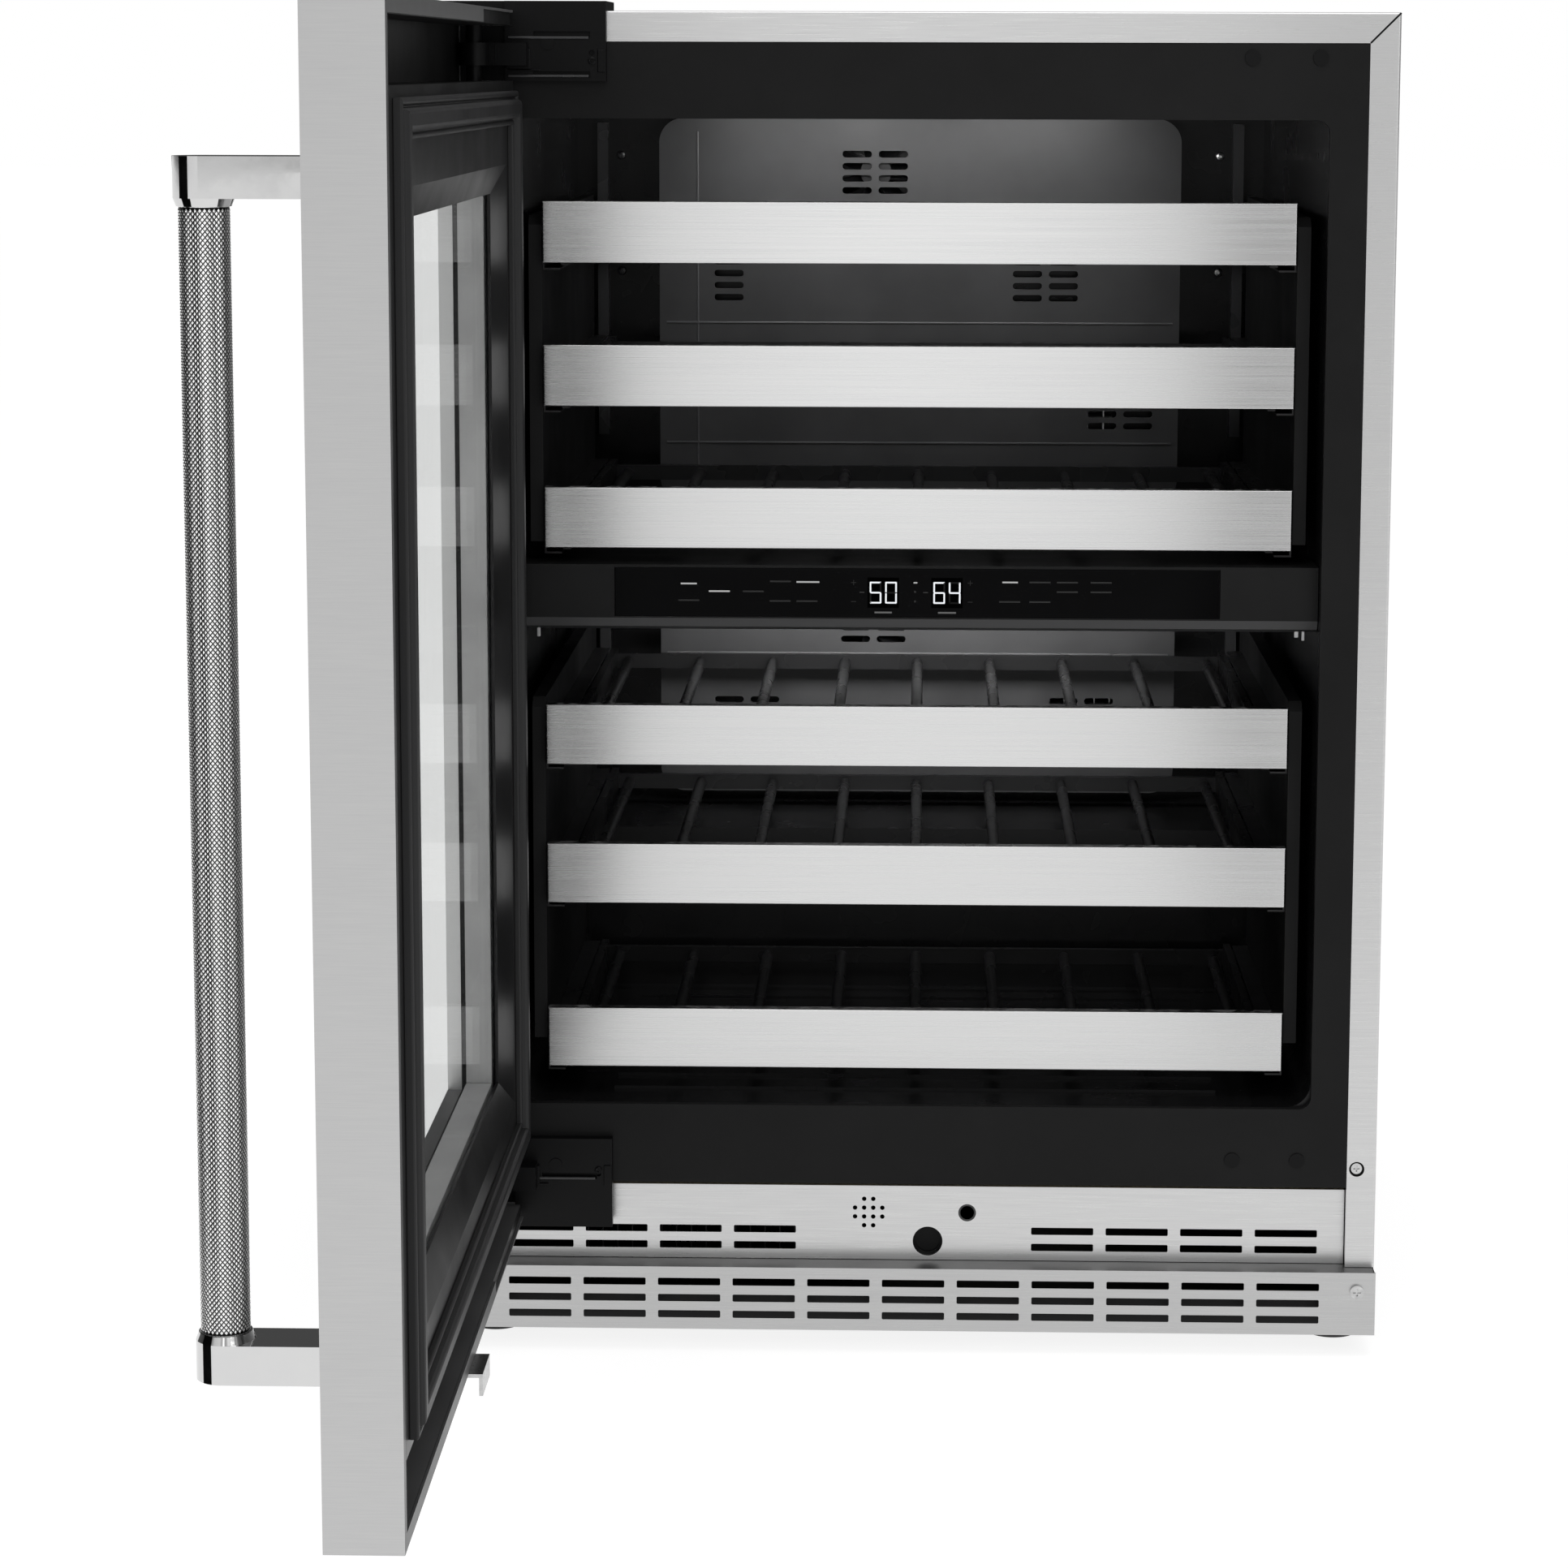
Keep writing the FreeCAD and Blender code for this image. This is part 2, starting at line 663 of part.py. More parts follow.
def front_screws():
    screws = []
    for side in (-1, 1):
        tag = "L" if side < 0 else "R"
        screws.append(cross_screw(f"KickScrew{tag}", kick_screw_across * side, kick_screw_height,
                                  -kick_proud - 2.2, 9, 2.2, 4, 12))
        screws.append(cross_screw(f"TrimScrew{tag}", trim_screw_across * side, trim_screw_height,
                                  as_size(1.6), 7.2, 2.4, 4, 1.2))
    sub_part("front_screws", group("Screws", *screws))


# ---------------------------------------------------------------- hinges
def hinge_bracket(name, low, high, arm, grooves):
    """The steel plate on the cabinet and the arm that reaches the pin inside the door."""
    thin = block(name + "Thin", (-half, plate_step), (-plate_thin, 0), (low, high))
    deep = block(name + "Deep", (plate_step, plate_right), (-plate_deep, 0), (low, high))
    neck = block(name + "Neck", (pivot_x + 1, pivot_x + arm_radius + 3),
                 (pivot_y, -plate_thin), arm)
    foot = block(name + "Foot", (pivot_x, arm_right), (-22, -plate_thin), arm)
    eye = rod(name + "Eye", "z", (pivot_x, pivot_y, arm[0]), arm_radius, arm[1] - arm[0])
    boss = rod(name + "Boss", "y", (-235, -plate_deep - 0.8, arm[0] + 14), 4.2, 2)
    tools = [rod(name + "PinBore", "z", (pivot_x, pivot_y, arm[0] - 1), pin_diameter / 2,
                 arm[1] - arm[0] + 2),
             rod(name + "Dowel", "y", (-207, -plate_deep - 1, arm[0] + 8), 1.8, 4)]
    for i, z in enumerate(grooves):
        tools.append(block(f"{name}Groove{i}", (-244, -208), (-plate_deep - 1, -plate_deep + 3),
                           (z, z + 4)))
    return fuse(name + "Solid", thin, deep, neck, foot, eye, boss), tools


def hinges():
    solid, tools = hinge_bracket("TopHinge", top_channel_low, case_height,
                                 (top_arm_low, top_arm_high), (831, 856))
    above = (case_height, case_height + hinge_cap)
    cap = block("TopHingeCap", (-half, plate_right), (-plate_thin, 60), above)
    front = block("TopHingeCapFront", (plate_step, plate_right), (-plate_deep, 0), above)
    sub_part("hinge_top_bracket", cut("TopHinge", fuse("TopHingeWhole", solid, cap, front), *tools))
    solid, tools = hinge_bracket("LowHinge", low_plate_low, low_plate_high,
                                 (low_arm_low, low_arm_high), (114.5,))
    sub_part("hinge_bottom_bracket", cut("LowHinge", solid, *tools))
    pins = [rod("TopPin", "z", (pivot_x, pivot_y, top_channel_low - 4), pin_diameter / 2,
                top_channel_high - top_channel_low + 8),
            rod("LowPin", "z", (pivot_x, pivot_y, low_channel_low - 4), pin_diameter / 2,
                low_channel_high - low_channel_low + 8)]
    sub_part("hinge_pins", group("Pins", *pins))


# ---------------------------------------------------------------- control bar and rear ducts
def control_bar():
    body = new_body("ControlBar")
    profile = sketch(body, "BarProfile", "YZ_Plane", 0.5 - cavity_half)
    polygon(profile, [
        (bar_front, bar_low + 9), (bar_front, bar_high), (bar_back, bar_high),
        (bar_back, shelf_high), (duct_front - 0.5, shelf_high), (duct_front - 0.5, shelf_low),
        (bar_back, shelf_low),
        (bar_back, bar_low), (bar_front + 14, bar_low), (bar_front + 4, bar_low + 3)])
    pad(body, profile, cavity_width - 1)
    pocket_face = sketch(body, "PanelRecess", "XZ_Plane", -(bar_front - 1))
    rectangle(pocket_face, (-panel_half, panel_half), (panel_low, panel_high))
    doc.recompute()
    before = body.Shape.Volume
    recess = body.newObject("PartDesign::Pocket", "PanelRecessCut")
    recess.Profile = pocket_face
    recess.Reversed = False
    bind(recess, Length=9)
    doc.recompute()
    if body.Shape.Volume > before - 1:
        raise RuntimeError("the panel recess cuts nothing")
    sub_part("control_housing", body)

    gap = 0.2
    glass, feature = front_plate("ControlGlass", bar_front - 0.6, 2.4, lambda s: rectangle(
        s, (gap - panel_half, panel_half - gap), (panel_low + gap, panel_high - gap)))
    soften(glass, feature, 0.5, lambda e: e.CenterOfMass.y < bar_front.value - 0.59)
    sub_part("control_glass", glass)
    board, _ = front_plate("ControlBoard", bar_front + 4, 1.6, lambda s: rectangle(
        s, (-180, 180), (panel_low + 2, panel_high - 2)))
    sub_part("control_board", board)


def duct_cover(node, name, low, high, vents):
    """A rear air-duct cover: a tray that faces the racks, with groups of louvres."""
    body = new_body(name)
    face = sketch(body, name + "Face", "XZ_Plane", -(cavity_back - 0.2))
    rounded(face, (-duct_half, duct_half), (low, high), 18)
    pad(body, face, cavity_back - 0.2 - duct_front)
    hollow = sketch(body, name + "Hollow", "XZ_Plane", -(cavity_back + 0.8))
    rounded(hollow, (3 - duct_half, duct_half - 3), (low + 3, high - 3), 15)
    doc.recompute()
    before = body.Shape.Volume
    scoop = body.newObject("PartDesign::Pocket", name + "Scoop")
    scoop.Profile = hollow
    scoop.Reversed = True
    bind(scoop, Length=cavity_back + 0.8 - duct_front - 3)
    doc.recompute()
    if body.Shape.Volume > before - 1:
        raise RuntimeError(f"{name} isn't hollow")
    for i, (x, z, columns, rows) in enumerate(vents):
        vent, vent_cut = hole_in(body, f"{name}Vent{i}", lambda s, a=x, b=z: rounded(
            s, (a, a + 22), (b, b + 5), 2.4), duct_front)
        repeat(body, vent_cut, vent, columns, 27, rows, 9)
    sub_part(node, body)


def rear_ducts():
    duct_cover("duct_cover_upper", "UpperDuct", upper_duct_low, upper_duct_high,
               ((-58, 744, 2, 4), (-154, 664, 1, 4), (127, 568, 2, 3), (70, 664, 2, 4)))
    duct_cover("duct_cover_lower", "LowerDuct", lower_duct_low, lower_duct_high,
               ((-58, 405, 2, 4), (-154, 340, 2, 3), (100, 340, 2, 3)))
    strips = []
    for side in (-1, 1):
        for low, high in ((560, 796), (320, 468)):
            x = light_across * side
            strips.append(block(f"Light{'L' if side < 0 else 'R'}{low}", (x - 4, x + 4),
                                (cavity_back - 6, as_size(cavity_back)), (low, high)))
    sub_part("light_strips", group("Lights", *strips))


def fan(node, name, x, y, z, radius, blades=7):
    """An axial fan that turns about Y: a hub with pitched blades."""
    body = new_body(name)
    hub_radius = radius * 0.34
    hub = sketch(body, name + "Hub", "XZ_Plane", -14)
    circle(hub, 0, 0, hub_radius * 2)
    pad(body, hub, 14)
    root = sketch(body, name + "Blade", "YZ_Plane", hub_radius - 1)
    root.AttachmentOffset = FreeCAD.Placement(
        FreeCAD.Vector(0, 0, (hub_radius - 1).value), FreeCAD.Rotation(FreeCAD.Vector(0, 0, 1), 40))
    along, above = 7 * math.cos(math.radians(40)), -7 * math.sin(math.radians(40))
    rectangle(root, (along - 8, along + 8), (above - 0.8, above + 0.8))
    blade = pad(body, root, radius - hub_radius + 1)
    doc.recompute()
    ring = body.newObject("PartDesign::PolarPattern", name + "Blades")
    ring.Originals = [blade]
    axis = next(f for f in body.Origin.OriginFeatures if f.Role == "Y_Axis")
    ring.Axis = (axis, [""])
    ring.Angle = 360
    ring.Occurrences = blades
    body.Tip = ring
    place(body, x, y, z)
    sub_part(node, body)


# ---------------------------------------------------------------- cooling system
def finned_coil(name, x, y, z, fins):
    """A row of upright fins joined by tubes that run across them."""
    depth, height = y[1] - y[0], z[1] - z[0]
    step = (x[1] - x[0] - 0.8) / (fins - 1)
    pieces = [block(f"{name}Fin{i}", (x[0] + i * step, x[0] + i * step + 0.8), y, z)
              for i in range(fins)]
    for i in range(3):
        for j, share in enumerate((0.28, 0.72)):
            at = (x[0] - 6, y[0] + depth * share, z[0] + height * (i + 0.5) / 3)
            pieces.append(rod(f"{name}Tube{i}{j}", "x", at, 3, x[1] - x[0] + 12))
    return fuse(name, *pieces)


def cooling():
    upper = finned_coil("UpperCoil", (-140, 140), (464, 484), (560, 650), 24)
    lower = finned_coil("LowerCoil", (20, 170), (464, 484), (310, 400), 14)
    sub_part("evaporator_coils", group("Evaporators", upper, lower))
    fan("fan_upper", "UpperFan", fan_across, duct_front + 8, 760, fan_radius - 4)
    fan("fan_lower", "LowerFan", fan_across, duct_front + 8, 420, fan_radius - 4)

    sub_part("condenser_coil", finned_coil("Condenser", (-230, -40), (60, 160), (24, 104), 20))
    plate = block("ShroudPlate", (-250, -20), (196, 199), (base_height + 2, 112))
    opening = rod("ShroudOpening", "y", (-135, 190, 64), fan_radius + 2, 20)
    sub_part("condenser_shroud", cut("Shroud", plate, opening))
    fan("condenser_fan", "CondenserFan", -135, 190, 64, fan_radius)

    body = new_body("Compressor")
    profile = sketch(body, "CanProfile", "XZ_Plane")
    polygon(profile, [(0, 0), (72, 0), (72, 4), (66, 8), (66, 120), (52, 142), (28, 152), (0, 154),
                      (0, 140), (24, 138), (40, 131), (50, 114), (50, 18), (0, 18)])
    can = body.newObject("PartDesign::Revolution", "Can")
    can.Profile = profile
    can.ReferenceAxis = (profile, ["V_Axis"])
    can.Angle = 360
    place(body, -150, 465, base_height + 2)
    sub_part("compressor", body)

    box = block("PowerBox", (140, 260), (440, 535), (base_height + 2, 95))
    lid = block("PowerLid", (138, 262), (438, 537), (95, 99))
    sub_part("power_box", fuse("PowerBoxWhole", box, lid))
    flange = rod("GlandFlange", "y", (235, case_depth, 60), 13, 3)
    barrel = rod("GlandBarrel", "y", (235, case_depth - 12, 60), 7.9, 24)
    bore = rod("GlandBore", "y", (235, case_depth - 13, 60), 4, 30)
    sub_part("cord_gland", cut("Gland", fuse("GlandSolid", flange, barrel), bore))


def lock_and_feet():
    barrel = rod("Barrel", "y", (lock_across, 12, lock_height), lock_bore / 2 - 0.1, 24)
    face = rod("LockFace", "y", (lock_across, 11, lock_height), lock_bore / 2 - 1.6, 2.4)
    cam = block("Cam", (lock_across - 5, lock_across + 24), (36, 39), (lock_height - 5, lock_height + 5))
    sub_part("lock_barrel", cut("LockBarrel", fuse("LockSolid", barrel, cam), face))

    names = ("foot_front_left", "foot_front_right", "foot_rear_left", "foot_rear_right")
    for i, (x, y) in enumerate(foot_places()):
        body = new_body(f"Foot{i}")
        profile = sketch(body, f"FootProfile{i}", "XZ_Plane")
        rim, stud = foot_diameter / 2, stud_diameter / 2
        polygon(profile, [(0, 0), (rim - 2, 0), (rim, 2), (rim, 6), (rim - 5, 10), (8, 10), (8, 14),
                          (stud, 14), (stud, 46), (0, 46)])
        turned = body.newObject("PartDesign::Revolution", f"FootTurned{i}")
        turned.Profile = profile
        turned.ReferenceAxis = (profile, ["V_Axis"])
        turned.Angle = 360
        place(body, x, y, 0)
        sub_part(names[i], body)


# ---------------------------------------------------------------- door
def door_frame():
    """The stainless pan: skin, four walls, narrow lips and a return round the window."""
    skin = door_skin
    deep = (door_outer, door_inner)
    across = (door_free_y, door_hinge_y)
    tall = (door_bottom, case_height)
    shell = block("PanOuter", deep, across, tall)
    hollow = block("PanHollow", (door_outer + skin, door_inner + 1),
                   (door_free_y + skin, door_hinge_y - skin), (door_bottom + skin, case_height - skin))
    pan = cut("PanWalls", shell, hollow)
    lips = [
        block("LipTop", (door_inner - skin, door_inner), (door_free_y, door_hinge_y - lip_stop),
              (case_height - door_lip, case_height)),
        block("LipLow", (door_inner - skin, door_inner), (door_free_y, door_hinge_y - lip_stop),
              (door_bottom, door_bottom + door_lip)),
        block("LipFree", (door_inner - skin, door_inner), (door_free_y, door_free_y + 8), tall),
    ]
    sight = glass_half + 6
    edge = sight + skin
    collar_y = (door_mid_y - edge, door_mid_y + edge)
    collar = block("WindowReturn", (door_outer, outer_pane - pane_thick - 1.2), collar_y,
                   (glass_low - 6 - skin, glass_high + 6 + skin))
    window = block("WindowHole", (door_outer - 1, door_inner), (door_mid_y - sight, door_mid_y + sight),
                   (glass_low - 6, glass_high + 6))
    corner = block("HingeCorner", (door_inner - hinge_corner, door_inner + 1),
                   (door_hinge_y - hinge_corner, door_hinge_y + 1), (door_bottom - 1, case_height + 1))
    mouths = [block(f"Mouth{i}", (channel_floor, door_inner + 1),
                    (door_hinge_y - 8, door_hinge_y + 1), (low, high))
              for i, (low, high) in enumerate(((top_channel_low, top_channel_high),
                                               (low_channel_low, low_channel_high)))]
    bolts = [rod(f"BoltHole{i}", "x", (door_outer - 1, handle_y, z), 3, 4)
             for i, z in enumerate(handle_bolt_heights())]
    whole = fuse("PanWhole", pan, collar, *lips)
    sub_part("door_frame", cut("DoorFrame", whole, window, corner, *mouths, *bolts))


def handle_bolt_heights():
    return (handle_low + bracket_height / 2, handle_high - bracket_height / 2)


def door_liner():
    """The black inner moulding: bevelled window, hinge channels, and hollow rails and stiles."""
    back = door_outer + door_skin + 5
    low, high = door_bottom + door_skin + 0.2, case_height - door_skin - 0.2
    flat = block("LinerFlat", (back, door_inner - door_skin - 0.2),
                 (door_free_y + door_skin + 0.2, door_hinge_y - hinge_corner - 0.3), (low, high))
    field = block("LinerField", (back, as_size(door_inner)),
                  (door_free_y + 8.5, door_hinge_y - 8.5),
                  (door_bottom + door_lip + 0.3, case_height - door_lip - 0.3))
    y_range = (door_mid_y - glass_half, door_mid_y + glass_half)
    sight = block("LinerSight", (back - 1, door_inner + 1), y_range, (glass_low, glass_high))
    hold = glass_half + glass_hold
    rebate = block("LinerRebate", (back - 1, inner_pane + 0.1), (door_mid_y - hold, door_mid_y + hold),
                   (glass_low - glass_hold, glass_high + glass_hold))
    slope = doc.addObject("Part::Wedge", "LinerBevel")
    slope.Placement = FreeCAD.Placement(
        FreeCAD.Vector(), FreeCAD.Rotation(FreeCAD.Vector(0, 0, 1), -90))
    # in the wedge's own frame Y is the cabinet's X, and X is its -Y
    bind(slope, Ymin=door_inner - bevel_depth, Ymax=door_inner + 0.01,
         Xmin=-door_mid_y - glass_half, Xmax=glass_half - door_mid_y, Zmin=glass_low, Zmax=glass_high,
         X2min=-door_mid_y - bevel_half, X2max=bevel_half - door_mid_y,
         Z2min=bevel_low, Z2max=bevel_high)
    channels = [block(f"Channel{i}", (channel_floor, door_inner + 1),
                      (door_free_y + 9, door_hinge_y + 1), (a, b))
                for i, (a, b) in enumerate(((top_channel_low, top_channel_high),
                                            (low_channel_low, low_channel_high)))]
    pockets = []
    deep = (back - 1, door_inner - bevel_depth - 3)
    stile_z = (gasket_low + 4, gasket_high + 2)
    inner_edge = hold + 4
    spans = [((door_free_y + 6, door_mid_y - inner_edge), stile_z),
             ((door_mid_y + inner_edge, door_hinge_y - 12), stile_z),
             ((door_mid_y - hold, door_mid_y + hold), (gasket_low + 4, glass_low - glass_hold - 4)),
             ((door_mid_y - hold, door_mid_y + hold), (glass_high + glass_hold + 4, gasket_high + 2))]
    for i, (y, z) in enumerate(spans):
        pockets.append(block(f"LinerPocket{i}", deep, y, z))
    sockets = [rod(f"PinSocket{i}", "z", (pivot_x, pivot_y, low - 4.5), pin_diameter / 2 + pin_play,
                   high - low + 9)
               for i, (low, high) in enumerate(((top_channel_low, top_channel_high),
                                                (low_channel_low, low_channel_high)))]
    solid = fuse("DoorLinerSolid", flat, field)
    sub_part("door_liner", cut("DoorLiner", solid, sight, rebate, slope, *channels, *pockets, *sockets))


def door_gasket():
    body = new_body("Gasket")
    ring = sketch(body, "GasketRing", "YZ_Plane", door_inner)
    w = gasket_width
    rounded(ring, (door_mid_y - gasket_half, door_mid_y + gasket_half), (gasket_low, gasket_high), 3)
    rounded(ring, (door_mid_y - gasket_half + w, door_mid_y + gasket_half - w),
            (gasket_low + w, gasket_high - w), 3)
    feature = pad(body, ring, gasket_proud)
    face_x = (door_inner + gasket_proud).value
    soften(body, feature, 2, lambda e: abs(e.CenterOfMass.x - face_x) < 0.01)
    sub_part("door_gasket", body)


def glazing():
    """Two panes held apart by an aluminium spacer."""
    hold = glass_half + glass_hold - 0.3
    y_range = (door_mid_y - hold, door_mid_y + hold)
    z_range = (glass_low - glass_hold + 0.3, glass_high + glass_hold - 0.3)
    sub_part("inner_glass", block("InnerPane", (inner_pane - pane_thick, inner_pane), y_range, z_range))
    sub_part("outer_glass", block("OuterPane", (outer_pane - pane_thick, outer_pane),
                                  y_range, z_range))
    rim = block("SpacerRim", (as_size(outer_pane), inner_pane - pane_thick), y_range, z_range)
    inside = block("SpacerInside", (outer_pane - 1, inner_pane), (door_mid_y - glass_half,
                   door_mid_y + glass_half), (glass_low, glass_high))
    sub_part("glass_spacer", cut("Spacer", rim, inside))


def handle():
    """A tall round grip on two brackets that stand off the free edge's front."""
    grip_low = handle_low + bracket_height + collar_height - collar_sink
    grip_high = handle_high - bracket_height - collar_height + collar_sink
    body = new_body("Grip")
    section = sketch(body, "GripSection", "XY_Plane")
    circle(section, 0, 0, grip_diameter)
    feature = pad(body, section, grip_high - grip_low)
    soften(body, feature, 0.8, lambda e: True, "PartDesign::Chamfer")
    place(body, handle_x, handle_y, grip_low)
    sub_part("handle_grip", body)
    full, tip = bracket_width / 2, as_size(collar_tip)
    for node, name, low, collar_at, ends, sunk_at in (
            ("handle_bracket_bottom", "LowBracket", as_size(handle_low), handle_low + bracket_height,
             (full, tip), grip_low),
            ("handle_bracket_top", "TopBracket", handle_high - bracket_height,
             handle_high - bracket_height - collar_height, (tip, full),
             handle_high - bracket_height - collar_height)):
        bar = block(name + "Bar", (handle_x, as_size(door_outer)),
                    (handle_y - bracket_width / 2, handle_y + bracket_width / 2),
                    (low, low + bracket_height))
        end = rod(name + "End", "z", (handle_x, handle_y, low), bracket_width / 2, bracket_height)
        collar = cone(name + "Collar", (handle_x, handle_y, collar_at), *ends, collar_height)
        seat = rod(name + "Seat", "z", (handle_x, handle_y, sunk_at), grip_diameter / 2 + 0.5,
                   collar_sink)
        sub_part(node, cut(name, fuse(name + "Solid", bar, end, collar), seat))


def lock_hook():
    """The catch under the middle of the door, which the lock holds when the door is shut."""
    lip_x = door_inner + gasket_proud + 0.2
    wide = (door_mid_y - 19, door_mid_y + 18)
    leaf = block("HookLeaf", (door_inner - 16, lip_x), wide, (door_bottom - 2.2, as_size(door_bottom)))
    drop = block("HookDrop", (lip_x - 2.2, lip_x), wide, (door_bottom - 13, as_size(door_bottom)))
    sub_part("lock_hook", fuse("Hook", leaf, drop))


# ---------------------------------------------------------------- racks and their slides
def rack_trim(number, low):
    body, feature = front_plate(f"RackTrim{number}", rack_face, rack_trim_thick, lambda s: rectangle(
        s, (-rack_width / 2, rack_width / 2), (low, low + rack_trim_height)))
    soften(body, feature, 0.8, lambda e: e.CenterOfMass.y < rack_face.value + 0.01)
    sub_part(f"rack_trim_{number}", body)


def rack_frame(number, low, back):
    """Side rails with slide members, cross bars, and the rods that carry the bottles."""
    name = f"Rack{number}"
    front = rack_face + rack_trim_thick
    length = (front, back)
    pieces = [
        block(name + "FrontBar", (-rail_half, rail_half), (front, front + 4), (low + 3, low + 14)),
        block(name + "RearBar", (-rail_half, rail_half), (back - 5, as_size(back)), (low + 3, low + 14)),
    ]
    for side in (-1, 1):
        tag = "L" if side < 0 else "R"
        rail = (rail_half, rail_half + 5) if side > 0 else (-rail_half - 5, -rail_half)
        slider = (rail_half + 5, rail_half + 15) if side > 0 else (-rail_half - 15, -rail_half - 5)
        pieces.append(block(name + "Rail" + tag, rail, length, (low - 2, low + 18)))
        pieces.append(block(name + "Slider" + tag, slider, (front + 3, as_size(back)), (low, low + 14)))
    for i in range(9):
        pieces.append(rod(f"{name}Rod{i}", "y", (rod_pitch * (i - 4), front, low + rod_lift),
                          rod_diameter / 2, back - front))
    sub_part(f"rack_frame_{number}", fuse(name, *pieces))


def slide_channel(name, side, low, back):
    """The fixed half of a slide: a channel, open towards the rack, on the holder plate."""
    web, open_side = plate_half - 0.2, rail_half + 6
    outer_x = (open_side, web) if side > 0 else (-web, -open_side)
    inner_x = (open_side - 1, web - 1.2) if side > 0 else (1.2 - web, 1 - open_side)
    shell = block(name + "Steel", outer_x, (rack_face + 11, back - 10), (low - 5, low + 19))
    groove = block(name + "Groove", inner_x, (rack_face + 10, back - 9), (low - 3.8, low + 17.8))
    return cut(name, shell, groove)


def rack_holder(name, side, lower):
    """A plate beside the racks, with rounded front corners; the lower one clears the step."""
    body = new_body(name)
    start = plate_half if side > 0 else -plate_half - plate_wide
    profile = sketch(body, name + "Side", "YZ_Plane", start)
    front, back = rack_face + 7, 440
    low, high = (lower_plate_low, lower_plate_high) if lower else (upper_plate_low, upper_plate_high)
    corner = [(back, high), (front + 6, high), (front, high - 6)]
    if lower:
        behind = step_front - 8
        polygon(profile, [(front, low), (behind, low), (behind, step_top + 4), (back, step_top + 4),
                          *corner])
    else:
        polygon(profile, [(front, low), (back, low), *corner])
    pad(body, profile, plate_wide)
    return body


def racks():
    channels, holders = [], []
    for number, (low, back) in enumerate(zip(rack_lows, rack_backs), start=1):
        rack_trim(number, low)
        rack_frame(number, low, back)
        for side in (-1, 1):
            tag = "L" if side < 0 else "R"
            channels.append(slide_channel(f"Slide{number}{tag}", side, low, back))
    for side in (-1, 1):
        for lower in (False, True):
            tag = ("L" if side < 0 else "R") + ("Low" if lower else "High")
            holders.append(rack_holder("Holder" + tag, side, lower))
    sub_part("slide_channels", group("Channels", *channels))
    sub_part("rack_holders", group("Holders", *holders))


# ---------------------------------------------------------------- build, test and write
def build():
    for make in (cabinet_shell, liner_and_foam, front_trim, upper_grille, toe_kick, front_screws,
                 hinges, control_bar, rear_ducts, cooling, lock_and_feet, door_frame, door_liner,
                 door_gasket, glazing, handle, lock_hook, racks):
        make()
    doc.recompute()


def check():
    for thing in doc.Objects:
        if "Invalid" in thing.State or "Error" in thing.State:
            raise RuntimeError(f"{thing.Label} failed: {thing.State}")
    for thing in sub_parts:
        shape = thing.Shape
        if shape.isNull() or not shape.isValid() or not shape.Solids:
            raise RuntimeError(f"{thing.Label} has no sound shape")


def write():
    os.makedirs("parts", exist_ok=True)
    for thing in sub_parts:
        thing.Shape.exportStep(f"parts/{thing.Label}.step")
    print(len(sub_parts), "sub-parts written")


build()
check()
write()
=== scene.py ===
import math

import bmesh
import bpy
from mathutils import Matrix, Vector


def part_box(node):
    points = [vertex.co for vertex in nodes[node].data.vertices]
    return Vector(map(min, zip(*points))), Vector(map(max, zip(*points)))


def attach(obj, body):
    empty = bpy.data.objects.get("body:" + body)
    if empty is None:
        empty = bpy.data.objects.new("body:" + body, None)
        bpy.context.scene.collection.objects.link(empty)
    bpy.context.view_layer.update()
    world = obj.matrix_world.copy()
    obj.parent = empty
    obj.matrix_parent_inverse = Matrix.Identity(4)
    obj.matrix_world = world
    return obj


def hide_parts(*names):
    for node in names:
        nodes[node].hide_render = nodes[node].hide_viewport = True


# Looks, fine details and studio for a built-in wine cooler with two zones and its door open.
# Metres, x to the right, y to the back and z up. The trims' front faces lie at y = 0.
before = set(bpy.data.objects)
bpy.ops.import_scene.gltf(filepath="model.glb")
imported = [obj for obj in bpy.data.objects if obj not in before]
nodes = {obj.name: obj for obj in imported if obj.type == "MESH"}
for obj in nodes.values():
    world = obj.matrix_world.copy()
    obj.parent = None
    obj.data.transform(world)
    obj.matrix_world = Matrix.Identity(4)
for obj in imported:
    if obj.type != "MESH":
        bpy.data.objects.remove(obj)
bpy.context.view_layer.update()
MM = 0.001


# ---------------------------------------------------------------- materials
def principled(name, base, rough, metal=0.0, **sockets):
    """A Principled material whose constant values sit on the shader's own sockets."""
    mat = bpy.data.materials.new(name)
    mat.use_nodes = True
    shader = mat.node_tree.nodes["Principled BSDF"]
    shader.inputs["Base Color"].default_value = (*base, 1)
    shader.inputs["Roughness"].default_value = rough
    shader.inputs["Metallic"].default_value = metal
    for key, value in sockets.items():
        shader.inputs[key.replace("_", " ")].default_value = value
    return mat, mat.node_tree.nodes, mat.node_tree.links, shader


def stretched_noise(nodes_, links, scale, detail=3.0):
    """Noise in the object's own coordinates, scaled per axis in features per metre."""
    coords = nodes_.new("ShaderNodeTexCoord")
    mapping = nodes_.new("ShaderNodeMapping")
    mapping.inputs["Scale"].default_value = scale
    noise = nodes_.new("ShaderNodeTexNoise")
    noise.inputs["Scale"].default_value = 1.0
    noise.inputs["Detail"].default_value = detail
    noise.inputs["Roughness"].default_value = 0.6
    links.new(coords.outputs["Object"], mapping.inputs["Vector"])
    links.new(mapping.outputs["Vector"], noise.inputs["Vector"])
    return noise.outputs["Fac"]


